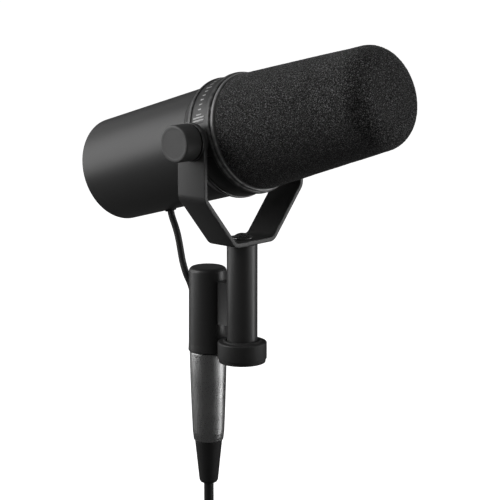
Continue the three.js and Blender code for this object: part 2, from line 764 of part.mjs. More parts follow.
// A hook-and-loop tie round the coil's section, at an angle past its top.
function coilTie() {
  const { innerR, outerR, half, centreZ } = COIL;
  const { lean, thick, halfWidth, clear } = TIE;
  const middle = (innerR + outerR) / 2;
  const halfZ = (outerR - innerR) / 2 + GAP + clear;
  const halfY = half + GAP;
  const outer = block(2 * halfWidth, 2 * (halfY + thick), 2 * (halfZ + thick), 0, 0, middle);
  const inner = block(2 * halfWidth + 2, 2 * halfY, 2 * halfZ, 0, 0, middle);
  return cut(outer, inner).rotateY(radians(lean)).translate(0, INLET.y, centreZ);
}

// From the side of the coil, out and down to the far-end boot.
function cableTail() {
  const { x, y, top } = TAIL;
  return cord([
    [13.4, INLET.y + 13.6, COIL.centreZ + 16.2],
    [17.9, INLET.y + 16.8, COIL.centreZ + 9.6],
    [20.3, y - 0.9, COIL.centreZ + 1.5],
    [x, y, COIL.centreZ - 7],
    [x, y, top + GAP],
  ], CABLE_R, 10, 8);
}

// The far connector hangs with its cable end up, so its pieces are the plug's profiles turned over.
function hung(profile, segments) {
  const flip = BOOT.bottom + TAIL.top;
  return upright(profile.map(([r, z]) => [r, flip - z]), segments, TAIL.x, TAIL.y);
}

function farShell() {
  const { top, bottom, noseTop, endR } = PLUG;
  const { boreR } = FAR;
  return hung([
    [boreR, noseTop - 2],
    [PLUG.mouthR, noseTop - 2],
    ...sleeveProfile().slice(1),
    [endR - SLEEVE.endWall, bottom],
    [boreR - 1, bottom + SLEEVE.neck],
    [boreR, top - 6],
  ], SIDES.middle);
}

function buildCable() {
  const cable = new THREE.Group();
  piece(cable, 'plug_shell', plugShell(), FINISH.nickel);
  piece(cable, 'plug_insert', plugInsert(), FINISH.blackPlastic);
  piece(cable, 'plug_latch', plugLatch(), FINISH.nickel);
  piece(cable, 'plug_boot', plugBoot(), FINISH.blackRubber);
  piece(cable, 'cable_drop', cableDrop(), FINISH.blackRubber);
  piece(cable, 'cable_coil', cableCoil(), FINISH.blackRubber);
  piece(cable, 'coil_tie', coilTie(), FINISH.blackRubber);
  piece(cable, 'cable_tail', cableTail(), FINISH.blackRubber);
  piece(cable, 'far_boot', hung(bootProfile(), SIDES.small), FINISH.blackRubber);
  piece(cable, 'far_shell', farShell(), FINISH.nickel);
  const { insertR, insertTop, insertBottom, pinBase } = FAR;
  const insert = [[0, insertBottom], [insertR, insertBottom], [insertR, insertTop], [0, insertTop]];
  piece(cable, 'far_insert', hung(insert, SIDES.small), FINISH.blackPlastic);
  const base = BOOT.bottom + TAIL.top + pinBase;
  pinPlaces(TAIL.x, TAIL.y).forEach((place, i) => {
    piece(cable, `far_pin_${i + 1}`, contactPin(place, base - PIN.farLong, base), FINISH.nickel);
  });
  return cable;
}

const microphone = new THREE.Group();
microphone.add(buildHead(), buildMount(), buildInlet(), buildCable());
microphone.updateMatrixWorld(true);

export default microphone;
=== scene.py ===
"""The looks of a broadcast microphone in its yoke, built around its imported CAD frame. Metres, +Z up."""

import json
import math
from collections import namedtuple

import bmesh
import bpy
from mathutils import Matrix, Vector, noise


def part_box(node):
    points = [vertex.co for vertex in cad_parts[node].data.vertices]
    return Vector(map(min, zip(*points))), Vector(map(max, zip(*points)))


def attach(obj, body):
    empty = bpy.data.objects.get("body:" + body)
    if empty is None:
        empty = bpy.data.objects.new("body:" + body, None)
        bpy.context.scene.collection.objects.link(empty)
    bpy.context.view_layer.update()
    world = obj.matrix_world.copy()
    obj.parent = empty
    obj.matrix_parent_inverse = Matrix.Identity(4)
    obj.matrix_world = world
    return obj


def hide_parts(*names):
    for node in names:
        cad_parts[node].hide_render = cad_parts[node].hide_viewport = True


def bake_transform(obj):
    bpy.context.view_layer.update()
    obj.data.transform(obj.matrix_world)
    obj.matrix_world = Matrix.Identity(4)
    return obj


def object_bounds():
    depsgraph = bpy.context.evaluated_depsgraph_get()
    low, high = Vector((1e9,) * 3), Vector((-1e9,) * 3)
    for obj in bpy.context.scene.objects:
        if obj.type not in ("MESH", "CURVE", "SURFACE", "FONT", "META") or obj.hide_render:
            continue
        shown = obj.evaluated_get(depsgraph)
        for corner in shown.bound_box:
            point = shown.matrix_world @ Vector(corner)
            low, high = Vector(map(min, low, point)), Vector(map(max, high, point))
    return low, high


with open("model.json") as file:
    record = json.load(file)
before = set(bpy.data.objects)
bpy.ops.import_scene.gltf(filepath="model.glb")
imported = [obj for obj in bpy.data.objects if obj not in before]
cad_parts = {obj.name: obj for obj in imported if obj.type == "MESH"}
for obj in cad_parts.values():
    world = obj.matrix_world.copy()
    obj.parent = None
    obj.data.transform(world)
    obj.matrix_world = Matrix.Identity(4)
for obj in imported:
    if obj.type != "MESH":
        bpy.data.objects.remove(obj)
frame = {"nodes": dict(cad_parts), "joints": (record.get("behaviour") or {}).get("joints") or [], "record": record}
cad_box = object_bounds()
scene = bpy.context.scene
MM = 0.001

# ---------- places ----------
JOINTS = {joint["name"]: joint for joint in frame["joints"]}
SLOTS = {part["node"]: part["material_slot"] for part in frame["record"]["subparts"]}
PIVOT = Vector(JOINTS["mic_tilt"]["pos_m"])
FORWARD = Vector(JOINTS["windscreen_pull"]["axis"])


def placed(at, axis, side=(1, 0, 0)):
    """A place whose local Z runs along an axis, with its local X as near as can be to a side."""
    up = Vector(axis).normalized()
    across = up.cross(Vector(side)).normalized()
    sideways = across.cross(up)
    turn = Matrix((sideways, across, up)).transposed().to_4x4()
    return Matrix.Translation(at) @ turn


def middle(node):
    low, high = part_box(node)
    return (low + high) / 2


def node_box(node, place):
    """The lowest and highest corner of a CAD node in a place's own axes, in mm."""
    back = place.inverted()
    points = [back @ v.co / MM for v in frame["nodes"][node].data.vertices]
    return [Vector([pick(p[i] for p in points) for i in range(3)]) for pick in (min, max)]


STAND = Matrix.Identity(4)
HEAD = placed(PIVOT, FORWARD, (-1, 0, 0))  # local Z runs to the address end, local Y is down
LEFT, RIGHT = placed(PIVOT, (-1, 0, 0), (0, 1, 0)), placed(PIVOT, (1, 0, 0), (0, 1, 0))
INLET_Y = middle("inlet_housing").y
INLET = Matrix.Translation((0, INLET_Y, 0))

Span = namedtuple("Span", "low high outer inner")


def span(node, place):
    """How far a CAD node reaches along and out from the local Z of a place, in mm."""
    back = place.inverted()
    points = [back @ v.co for v in frame["nodes"][node].data.vertices]
    along = [p.z / MM for p in points]
    out = [math.hypot(p.x, p.y) / MM for p in points]
    return Span(min(along), max(along), max(out), min(out))


# ---------- camera, floor and light ----------
CAMERA_AT = (-0.6243, -0.5775, 0.2228)
VIEW_AZIMUTH, VIEW_ELEVATION = -47.5, 10.93  # degrees
LENS, SENSOR = 122.2, 36.0  # mm
FLOOR_DROP, FLOOR_RADIUS = 0.012, 16.0
LIGHT_TARGET = Vector((0, 0, 0.08))
WORLD_LIGHT = 0.07
SOFTBOXES = {  # degrees round from the camera's side and up, distance in m, width and height in m, watts
    "left_low_softbox": (-108, 12, 2.2, (1.25, 2.0), 15.5),
    "left_high_softbox": (-78, 24, 1.3, (0.75, 1.2), 8.5),
    "right_edge_light": (94, -2, 1.2, (0.4, 1.1), 6),
    "right_softbox": (64, 6, 1.3, (0.6, 1.1), 2),
    "left_rim_light": (-140, 20, 1.4, (0.8, 1.2), 0.8),
    "top_light": (15, 72, 1.4, (0.8, 0.8), 2),
}


def direction(azimuth, elevation):
    """From the object towards a viewer: azimuth 0 is on the -Y side and 90 on the +X side."""
    a, e = math.radians(azimuth), math.radians(elevation)
    return Vector((math.sin(a) * math.cos(e), -math.cos(a) * math.cos(e), math.sin(e)))


def linked(name, data):
    """A new object in the scene that holds some data."""
    made = bpy.data.objects.new(name, data)
    scene.collection.objects.link(made)
    return made


def aimed(name, data, at, away):
    """A camera or a lamp at a point, looking the opposite way from a direction."""
    made = linked(name, data)
    made.location = at
    made.rotation_mode = "QUATERNION"
    made.rotation_quaternion = (-away).to_track_quat("-Z", "Y")
    return made


def add_camera():
    data = bpy.data.cameras.new("camera")
    data.lens, data.sensor_width = LENS, SENSOR
    data.clip_start, data.clip_end = 0.02, 60
    scene.camera = aimed("camera", data, CAMERA_AT, direction(VIEW_AZIMUTH, VIEW_ELEVATION))


def softbox(name, turn, rise, distance, size, watts):
    """A lamp that faces the object, turned from the camera's side (positive to its right)."""
    data = bpy.data.lights.new(name, "AREA")
    data.shape = "RECTANGLE"
    data.size, data.size_y = size
    data.energy = watts
    away = direction(VIEW_AZIMUTH + turn, rise)
    aimed(name, data, LIGHT_TARGET + away * distance, away).visible_camera = False


def add_studio():
    world = bpy.data.worlds.new("studio")
    scene.world = world
    world.use_nodes = True
    background = world.node_tree.nodes["Background"]
    background.inputs["Color"].default_value = (1, 1, 1, 1)
    background.inputs["Strength"].default_value = WORLD_LIGHT
    for name, settings in SOFTBOXES.items():
        softbox(name, *settings)
    scene.view_settings.view_transform = "Standard"


def add_floor():
    """A pale floor with a far wall round it, which the camera sees and which throw no light at the object."""
    bm = bmesh.new()
    bmesh.ops.create_circle(bm, cap_ends=True, segments=64, radius=FLOOR_RADIUS)
    rim = bmesh.ops.extrude_edge_only(bm, edges=list(bm.edges))["geom"]
    raised = [part for part in rim if isinstance(part, bmesh.types.BMVert)]
    bmesh.ops.translate(bm, verts=raised, vec=(0, 0, FLOOR_RADIUS))
    mesh = bpy.data.meshes.new("floor")
    bm.to_mesh(mesh)
    bm.free()
    floor = linked("floor", mesh)
    floor.location.z = cad_box[0].z - FLOOR_DROP
    shade = bpy.data.materials.new("pale_floor")
    shade.use_nodes = True
    bsdf = shade.node_tree.nodes["Principled BSDF"]
    bsdf.inputs["Base Color"].default_value = (0.8, 0.8, 0.8, 1)
    bsdf.inputs["Roughness"].default_value = 0.9
    bsdf.inputs["Emission Color"].default_value = (1, 1, 1, 1)
    bsdf.inputs["Emission Strength"].default_value = 1.0
    mesh.materials.append(shade)
    floor.visible_diffuse = floor.visible_glossy = False


add_camera()
add_studio()
add_floor()


# ---------- materials ----------
EDGE = "edge"  # the point attribute that is 1 on a rounded edge and 0 on a face


class Shader:
    """A material's node tree with a few shorthands."""

    def __init__(self, name):
        self.material = bpy.data.materials.new(name)
        self.material.use_nodes = True
        self.tree = self.material.node_tree
        self.bsdf = self.tree.nodes["Principled BSDF"]
        self.where = self.add("ShaderNodeTexCoord").outputs["Object"]

    def add(self, kind, **settings):
        node = self.tree.nodes.new(kind)
        for key, value in settings.items():
            setattr(node, key, value)
        return node

    def feed(self, socket, value):
        if isinstance(value, bpy.types.NodeSocket):
            self.tree.links.new(value, socket)
        else:
            socket.default_value = value

    def noise(self, per_metre, detail=2.0, stretch=(1, 1, 1), rough=0.5):
        mapping = self.add("ShaderNodeMapping")
        self.feed(mapping.inputs["Vector"], self.where)
        mapping.inputs["Scale"].default_value = stretch
        texture = self.add("ShaderNodeTexNoise")
        self.feed(texture.inputs["Vector"], mapping.outputs["Vector"])
        texture.inputs["Scale"].default_value = per_metre
        texture.inputs["Detail"].default_value = detail
        texture.inputs["Roughness"].default_value = rough
        return texture.outputs["Fac"]

    def cells(self, per_metre, feature="F1"):
        texture = self.add("ShaderNodeTexVoronoi", feature=feature)
        self.feed(texture.inputs["Vector"], self.where)
        texture.inputs["Scale"].default_value = per_metre
        return texture.outputs["Distance"]

    def math(self, operation, a, b):
        node = self.add("ShaderNodeMath", operation=operation)
        self.feed(node.inputs[0], a)
        self.feed(node.inputs[1], b)
        return node.outputs[0]

    def spread(self, value, low, high, start=0.3, end=0.7):
        node = self.add("ShaderNodeMapRange")
        self.feed(node.inputs["Value"], value)
        for key, number in (("From Min", start), ("From Max", end), ("To Min", low), ("To Max", high)):
            node.inputs[key].default_value = number
        return node.outputs["Result"]

    def mix(self, share, a, b):
        node = self.add("ShaderNodeMix", data_type="RGBA")
        self.feed(node.inputs["Factor"], share)
        self.feed(node.inputs[6], a)
        self.feed(node.inputs[7], b)
        return node.outputs[2]

    def bump(self, height, depth_mm, below=None):
        node = self.add("ShaderNodeBump")
        node.inputs["Distance"].default_value = depth_mm * MM
        self.feed(node.inputs["Height"], height)
        if below is not None:
            self.feed(node.inputs["Normal"], below)
        return node.outputs["Normal"]


def grey(value):
    return (value, value, value, 1)


def finish(name, colour, roughness, metallic=0.0, specular=0.5, grain=(1200, 0.012), stretch=(1, 1, 1),
           mottle=0.12, spread=0.07, wear_and_highlight=None):
    """A finish with fine grain, uneven colour and gloss, and a lighter colour on rounded edges where one is given,
    partly rubbed wear and partly painted edge highlight.

    grain is how fine the surface is per metre and how deep in mm, mottle is the share by which the
    colour varies, and spread is how far the roughness varies.
    """
    s = Shader(name)
    slow = s.noise(55, 3.0)
    fine = s.noise(grain[0], 2.0, stretch)
    darker = tuple(c * (1 - mottle) for c in colour[:3]) + (1,)
    lighter = tuple(min(1, c * (1 + mottle)) for c in colour[:3]) + (1,)
    shade = s.mix(s.spread(slow, 0, 1), darker, lighter)
    patches = s.spread(slow, -spread / 2, spread / 2)
    rough = s.math("ADD", patches, s.spread(fine, roughness - spread, roughness + spread))
    # Rounded edges take the given lighter colour and a lower roughness: partly rubbed wear, partly painted
    # highlight standing in for the light that edges catch.
    if wear_and_highlight is not None:
        edge = s.add("ShaderNodeAttribute", attribute_name=EDGE).outputs["Fac"]
        wear_and_highlight_share = s.math("MULTIPLY", edge, s.spread(s.noise(260, 4.0), 0.1, 1.0, 0.4, 0.62))
        shade = s.mix(wear_and_highlight_share, shade, wear_and_highlight)
        rough = s.math("SUBTRACT", rough, s.math("MULTIPLY", wear_and_highlight_share, 0.12))
    s.feed(s.bsdf.inputs["Base Color"], shade)
    s.feed(s.bsdf.inputs["Roughness"], rough)
    s.feed(s.bsdf.inputs["Normal"], s.bump(fine, grain[1]))
    s.bsdf.inputs["Metallic"].default_value = metallic
    s.bsdf.inputs["Specular IOR Level"].default_value = specular
    return s.material


def foam_finish():
    """Open-cell foam, no gloss: pale strut tips between dark pits, which are painted glints on the tips and
    painted shade in the pits.
    """
    s = Shader("open_cell_foam")
    pits = s.cells(1650)
    tips = s.noise(2000, 2.0, rough=0.6)
    # Painted glints on the strut tips and painted shade in the pits between them.
    tip_glint_and_pit_shade = s.math("MULTIPLY", s.spread(tips, 0.0, 1.0, 0.46, 0.64), s.spread(pits, 1.0, 0.2, 0.15, 0.6))
    worn = s.spread(s.noise(28, 2.0), 0.92, 1.08)
    shade = s.mix(s.math("MULTIPLY", tip_glint_and_pit_shade, worn), grey(0.009), grey(0.34))
    s.feed(s.bsdf.inputs["Base Color"], shade)
    s.feed(s.bsdf.inputs["Normal"], s.bump(tips, 0.3, s.bump(pits, 0.25)))
    s.bsdf.inputs["Roughness"].default_value = 1.0
    s.bsdf.inputs["Specular IOR Level"].default_value = 0.1
    s.bsdf.inputs["Sheen Weight"].default_value = 0.08
    s.bsdf.inputs["Sheen Roughness"].default_value = 0.5
    return s.material


def board_finish():
    """Green solder mask over faint copper tracks."""
    s = Shader("circuit_board")
    tracks = s.spread(s.cells(420, "DISTANCE_TO_EDGE"), 1, 0, 0.02, 0.06)
    s.feed(s.bsdf.inputs["Base Color"], s.mix(tracks, (0.012, 0.075, 0.03, 1), (0.03, 0.14, 0.06, 1)))
    s.feed(s.bsdf.inputs["Roughness"], s.spread(s.noise(300), 0.3, 0.42))
    s.feed(s.bsdf.inputs["Normal"], s.bump(tracks, 0.03))
    return s.material


def winding_finish():
    """Turns of enamelled copper wire lying side by side."""
    s = Shader("copper_winding")
    wave = s.add("ShaderNodeTexWave", wave_type="BANDS", bands_direction="Z")
    s.feed(wave.inputs["Vector"], s.where)
    wave.inputs["Scale"].default_value = 550
    wave.inputs["Distortion"].default_value = 0.4
    turns = wave.outputs["Fac"]
    s.feed(s.bsdf.inputs["Base Color"], s.mix(turns, (0.18, 0.06, 0.02, 1), (0.55, 0.2, 0.08, 1)))
    s.feed(s.bsdf.inputs["Roughness"], s.spread(s.noise(400), 0.28, 0.42))
    s.feed(s.bsdf.inputs["Normal"], s.bump(turns, 0.1))
    s.bsdf.inputs["Metallic"].default_value = 0.8
    return s.material


def hook_and_loop_finish():
    """Looped fabric: short fuzzy loops in rows."""
    s = Shader("tie_fabric")
    loops = s.cells(1500)
    s.feed(s.bsdf.inputs["Base Color"], s.mix(s.spread(loops, 0, 1, 0.1, 0.6), grey(0.03), grey(0.008)))
    s.feed(s.bsdf.inputs["Normal"], s.bump(loops, 0.25))
    s.bsdf.inputs["Roughness"].default_value = 0.95
    s.bsdf.inputs["Sheen Weight"].default_value = 0.3
    return s.material


LOOKS = {
    "black_paint": finish("satin_black_paint", grey(0.042), 0.4, grain=(1600, 0.003), mottle=0.03,
                          spread=0.01, wear_and_highlight=grey(0.1)),
    # The collar's pale edge colour is painted highlight on its recess walls and rims, partly rubbed wear.
    "satin_collar": finish("satin_black_collar", grey(0.036), 0.4, grain=(1800, 0.003), mottle=0.03,
                           spread=0.015, wear_and_highlight=grey(0.2)),
    "label": finish("label_plate", grey(0.03), 0.38, grain=(2200, 0.004), mottle=0.04, spread=0.015,
                    wear_and_highlight=grey(0.16)),
    "print": finish("label_marks", grey(0.5), 0.5, grain=(2500, 0.003)),
    # The ring's pale edge colour is painted highlight, the bright line that its front edge catches, more than
    # rubbed wear.
    "ring_metal": finish("burnished_ring", grey(0.2), 0.25, grain=(2500, 0.002), stretch=(1, 1, 8),
                         spread=0.03, wear_and_highlight=grey(0.45)),
    "foam": foam_finish(),
    "cage_steel": finish("cage_steel", grey(0.42), 0.3, metallic=1.0, grain=(1800, 0.006), wear_and_highlight=grey(0.6)),
    "inner_plastic": finish("inner_plastic", grey(0.02), 0.55, grain=(1600, 0.01)),
    "inner_aluminium": finish("inner_aluminium", grey(0.5), 0.36, metallic=1.0, grain=(900, 0.006),
                              stretch=(1, 1, 12)),
    "copper_winding": winding_finish(),
    "shock_rubber": finish("shock_rubber", grey(0.018), 0.8, specular=0.3, grain=(1500, 0.02)),
    "circuit_board": board_finish(),
    "switch_white": finish("switch_white", grey(0.62), 0.45, grain=(1800, 0.006), mottle=0.05),
    "screw_steel": finish("screw_steel", grey(0.3), 0.32, metallic=1.0, grain=(2600, 0.006), wear_and_highlight=grey(0.5)),
    "gland_rubber": finish("gland_rubber", grey(0.014), 0.7, specular=0.35, grain=(2200, 0.015)),
    "yoke_paint": finish("yoke_paint", grey(0.038), 0.46, grain=(1700, 0.006), mottle=0.04, spread=0.015,
                         wear_and_highlight=grey(0.14)),
    "knob_black": finish("knob_black", grey(0.062), 0.5, specular=0.55, grain=(1700, 0.05), mottle=0.06,
                         spread=0.04, wear_and_highlight=grey(0.07)),
    "washer_black": finish("washer_black", grey(0.02), 0.35, grain=(1800, 0.006), wear_and_highlight=grey(0.2)),
    "black_steel": finish("black_steel", grey(0.16), 0.26, metallic=0.7, specular=0.6,
                          grain=(1500, 0.004), wear_and_highlight=grey(0.3)),
    "tube_paint": finish("tube_paint", grey(0.038), 0.39, grain=(1600, 0.004), mottle=0.03, spread=0.012,
                         wear_and_highlight=grey(0.06)),
    "nut_black": finish("nut_black", grey(0.032), 0.55, specular=0.25, grain=(2200, 0.06),
                        stretch=(1, 1, 0.15), mottle=0.05, spread=0.03, wear_and_highlight=grey(0.06)),
    "contact_metal": finish("contact_metal", (0.6, 0.45, 0.2, 1), 0.22, metallic=1.0, grain=(2600, 0.003)),
    "lead_jacket": finish("lead_jacket", grey(0.026), 0.48, specular=0.4, grain=(1700, 0.01)),
    "plug_nickel": finish("plug_nickel", grey(0.36), 0.33, metallic=1.0, grain=(2000, 0.12), mottle=0.05,
                          spread=0.1, wear_and_highlight=grey(0.5)),
    "boot_rubber": finish("boot_rubber", grey(0.018), 0.6, specular=0.3, grain=(1900, 0.012),
                          wear_and_highlight=grey(0.025)),
    "cable_jacket": finish("cable_jacket", grey(0.014), 0.58, specular=0.35, grain=(1500, 0.015)),
    "tie_fabric": hook_and_loop_finish(),
}


# ---------- mesh building ----------
SMALL_FILLET = 1.5  # mm; only a tighter one counts as an edge that takes the lighter edge colour, partly rubbed wear and partly painted highlight
WELD = 1e-7  # points of a new mesh nearer than this, in metres, are one
MERGE = 2e-6  # and points of a cut mesh nearer than this
SHARP = 38.0  # degrees between faces that meet at a hard line


def rounded(corners, closed, steps=4):
    """(x, y, edge) along an outline whose corners may each give a fillet radius as a third number."""
    found = []
    for i, corner in enumerate(corners):
        here = Vector(corner[:2])
        ends = not closed and i in (0, len(corners) - 1)
        if len(corner) < 3 or ends:
            found.append((here.x, here.y, 0.0))
            continue
        before = (Vector(corners[i - 1][:2]) - here).normalized()
        after = (Vector(corners[(i + 1) % len(corners)][:2]) - here).normalized()
        half = before.angle(after) / 2
        reach, away = corner[2] / math.tan(half), corner[2] / math.sin(half)
        centre = here + (before + after).normalized() * away
        start, end = here + before * reach - centre, here + after * reach - centre
        turn = math.atan2(start.x * end.y - start.y * end.x, start.dot(end))
        for k in range(steps + 1):
            spoke = start.copy()
            spoke.rotate(Matrix.Rotation(turn * k / steps, 2))
            point = centre + spoke
            found.append((point.x, point.y, 1.0 if 0 < k < steps and corner[2] < SMALL_FILLET else 0.0))
    return found


def build(name, points, faces, place=STAND, edges=None, sharp=SHARP):
    """A mesh object from points in mm, in a place's own axes, with its faces pointing out."""
    mesh = bpy.data.meshes.new(name)
    mesh.from_pydata([Vector(p) * MM for p in points], [], faces)
    if edges is not None:
        layer = mesh.attributes.new(EDGE, "FLOAT", "POINT")
        layer.data.foreach_set("value", edges)
    bm = bmesh.new()
    bm.from_mesh(mesh)
    bmesh.ops.remove_doubles(bm, verts=bm.verts, dist=WELD)
    if bm.calc_volume(signed=True) < 0:
        bmesh.ops.reverse_faces(bm, faces=bm.faces)
    bm.to_mesh(mesh)
    bm.free()
    for face in mesh.polygons:
        face.use_smooth = True
    mesh.set_sharp_from_angle(angle=math.radians(sharp))
    made = linked(name, mesh)
    made.matrix_world = place
    return made


def ring_faces(rows, closed):
    """The faces between rows of points that go once round; a row of one point is a tip."""
    faces = []
    sides = max(len(row) for row in rows)
    for a, b in zip(rows, rows[1:] + rows[:1] if closed else rows[1:]):
        for k in range(sides):
            n = (k + 1) % sides
            if len(a) > 1 and len(b) > 1:
                faces.append((a[k], a[n], b[n], b[k]))
            elif len(b) > 1:
                faces.append((a[0], b[n], b[k]))
            elif len(a) > 1:
                faces.append((a[k], a[n], b[0]))
    return faces


def lathe(name, corners, place, sides=96, warp=None, steps=4):
    """A solid of revolution about local Z from (radius, height) corners, closed on the axis or on itself."""
    ring = corners[0][0] > 0
    profile = rounded(corners, closed=ring, steps=steps)
    points, edges, rows = [], [], []
    for radius, z, edge in profile:
        count = sides if radius > 1e-6 else 1
        rows.append(range(len(points), len(points) + count))
        for k in range(count):
            angle = 2 * math.pi * k / sides
            out = warp(radius, z, angle) if warp else radius
            points.append((out * math.cos(angle), out * math.sin(angle), z))
            edges.append(edge)
    return build(name, points, ring_faces(rows, ring), place, edges)


def rim(thick, edge):
    """(inset, height, edge) across a plate's rounded rim, from its upper face to its lower one."""
    half, steps = thick / 2, 3
    upper = [(edge, half, 0.0)]
    for k in range(1, steps + 1):
        a = math.pi / 2 * k / steps
        worn = 1.0 if k < steps else 0.0
        upper.append((edge * (1 - math.sin(a)), half - edge * (1 - math.cos(a)), worn))
    return upper + [(inset, -height, worn) for inset, height, worn in reversed(upper)]


def plate(name, half_length, half_width, corner, thick, edge, at, stations=(), place=STAND, steps=8):
    """A plate with round corners and edges. at(s, w, h) places a point of its flat pattern."""
    points, edges, layers = [], [], []
    for inset, height, worn in rim(thick, edge):
        inner = corner - inset
        turns = [math.pi / 2 * k / steps for k in range(steps + 1)]
        s0, w0 = half_length - corner, half_width - corner
        end = [(s0 + inner * math.cos(a), w0 + inner * math.sin(a)) for a in turns]
        rows = [(-s, w) for s, w in end] + [(s, half_width - inset) for s in stations] + end[::-1]
        layer = []
        for s, w in rows:
            layer.append((len(points), len(points) + 1))
            points += [at(s, w, height), at(s, -w, height)]
            edges += [worn, worn]
        layers.append(layer)
    faces = []
    for row, nxt in zip(layers[0], layers[0][1:]):
        faces.append((row[0], nxt[0], nxt[1], row[1]))
    for row, nxt in zip(layers[-1], layers[-1][1:]):
        faces.append((row[1], nxt[1], nxt[0], row[0]))
    for upper, lower in zip(layers, layers[1:]):
        for k in range(len(upper) - 1):
            faces.append((upper[k][0], lower[k][0], lower[k + 1][0], upper[k + 1][0]))
            faces.append((upper[k][1], upper[k + 1][1], lower[k + 1][1], lower[k][1]))
        faces.append((upper[0][1], lower[0][1], lower[0][0], upper[0][0]))
        faces.append((upper[-1][0], lower[-1][0], lower[-1][1], upper[-1][1]))
    faces = [tuple(dict.fromkeys(face)) for face in faces]
    return build(name, points, faces, place, edges)


def slab(name, outline, low, high, edge, place=STAND):
    """An outline in local X and Y, extruded along Z with its rims rounded."""
    count = len(outline)
    inward = []
    for i, here in enumerate(outline):
        p, a, b = Vector(here), Vector(outline[i - 1]), Vector(outline[(i + 1) % count])
        one, two = (p - a).normalized(), (b - p).normalized()
        normal = Vector((-one.y - two.y, one.x + two.x)).normalized()
        inward.append(normal / max(0.3, normal.dot(Vector((-one.y, one.x)))))
    points, edges = [], []
    centre = (low + high) / 2
    layers = rim(high - low, edge)
    for inset, height, worn in layers:
        for here, normal in zip(outline, inward):
            points.append((here[0] + normal.x * inset, here[1] + normal.y * inset, centre + height))
            edges.append(worn)
    faces = [tuple(range(count)), tuple(reversed(range(len(points) - count, len(points))))]
    for layer in range(len(layers) - 1):
        base = layer * count
        for i in range(count):
            n = (i + 1) % count
            faces.append((base + i, base + count + i, base + count + n, base + n))
    return build(name, points, faces, place, edges, sharp=25)


def prism(outline, low, high, place=STAND):
    """A plain tool for cutting: an outline in local X and Y, extruded along Z."""
    count = len(outline)
    points = [(x, y, z) for z in (low, high) for x, y in outline]
    under, over = range(count), range(count, 2 * count)
    faces = [tuple(reversed(under)), tuple(over)] + ring_faces([under, over], False)
    return build("tool", points, faces, place)


def box_outline(half_x, half_y, x, y, corner):
    corners = [(x - half_x, y - half_y, corner), (x + half_x, y - half_y, corner),
               (x + half_x, y + half_y, corner), (x - half_x, y + half_y, corner)]
    return [(px, py) for px, py, _ in rounded(corners, closed=True, steps=3)]


def arc_points(radius, start, end, steps, x=0.0, y=0.0):
    """Points on an arc about (x, y), between two angles in degrees."""
    angles = [math.radians(start + (end - start) * k / steps) for k in range(steps + 1)]
    return [(x + radius * math.cos(a), y + radius * math.sin(a)) for a in angles]


def tube(name, points, radius, sides=16):
    """A round tube in the row frame along close points, in metres, with closed ends."""
    rings, normal = [], None
    for i, p in enumerate(points):
        along = (points[min(i + 1, len(points) - 1)] - points[max(i - 1, 0)]).normalized()
        normal = along.orthogonal() if normal is None else normal
        normal = (normal - along * normal.dot(along)).normalized()
        other = along.cross(normal)
        for k in range(sides):
            angle = 2 * math.pi * k / sides
            rings.append((p + (normal * math.cos(angle) + other * math.sin(angle)) * radius) / MM)
    rows = [range(i * sides, (i + 1) * sides) for i in range(len(points))]
    faces = ring_faces(rows, False) + [tuple(reversed(rows[0])), tuple(rows[-1])]
    return build(name, rings, faces)


def smooth_path(points, per_span):
    """Close points on a centripetal Catmull-Rom curve through given ones."""
    ends = [points[0] * 2 - points[1], *points, points[-1] * 2 - points[-2]]
    found = []
    for a, b, c, d in zip(ends, ends[1:], ends[2:], ends[3:]):
        t = [0.0]
        for p, q in ((a, b), (b, c), (c, d)):
            t.append(t[-1] + math.sqrt((q - p).length))
        for k in range(per_span):
            u = t[1] + (t[2] - t[1]) * k / per_span
            ab = a.lerp(b, (u - t[0]) / (t[1] - t[0]))
            bc = b.lerp(c, (u - t[1]) / (t[2] - t[1]))
            cd = c.lerp(d, (u - t[2]) / (t[3] - t[2]))
            abc = ab.lerp(bc, (u - t[0]) / (t[2] - t[0]))
            bcd = bc.lerp(cd, (u - t[1]) / (t[3] - t[1]))
            found.append(abc.lerp(bcd, (u - t[1]) / (t[2] - t[1])))
    return found + [points[-1].copy()]


def baked(piece):
    """The piece with its modifiers applied."""
    made = bpy.data.meshes.new_from_object(piece.evaluated_get(bpy.context.evaluated_depsgraph_get()))
    piece.modifiers.clear()
    piece.data = made
    return piece


def cut(piece, *tools):
    """The piece with each tool's shape taken out of it; the tools are used up."""
    for tool in tools:
        change = piece.modifiers.new("cut", "BOOLEAN")
        change.operation, change.solver, change.object = "DIFFERENCE", "EXACT", tool
    bpy.context.view_layer.update()
    baked(piece)
    for tool in tools:
        bpy.data.objects.remove(tool)
    bm = bmesh.new()
    bm.from_mesh(piece.data)
    bmesh.ops.remove_doubles(bm, verts=bm.verts, dist=MERGE)
    bmesh.ops.dissolve_degenerate(bm, edges=bm.edges, dist=MERGE)
    bm.to_mesh(piece.data)
    bm.free()
    piece.data.set_sharp_from_angle(angle=math.radians(SHARP))
    return piece


def joined(name, pieces):
    """One piece made of several that share a place."""
    bm = bmesh.new()
    for piece in pieces:
        bm.from_mesh(piece.data)
    mesh = bpy.data.meshes.new(name)
    bm.to_mesh(mesh)
    bm.free()
    place = pieces[0].matrix_world.copy()
    for piece in pieces:
        bpy.data.objects.remove(piece)
    made = linked(name, mesh)
    made.matrix_world = place
    return made


def dress(piece, body, *stands_for):
    """Gives a piece the finish of the first CAD node that it stands for and the body that it rides on, and hides
    those CAD nodes.
    """
    slot = SLOTS[stands_for[0]]
    piece.data.materials.clear()
    piece.data.materials.append(LOOKS[slot])
    if body:
        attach(piece, body)
    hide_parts(*stands_for)
    return piece


def turned(name, node, body, profile, place, sides, steps=4):
    """A piece made on the lathe that stands for one CAD node."""
    return dress(lathe(name, profile, place, sides, steps=steps), body, node)


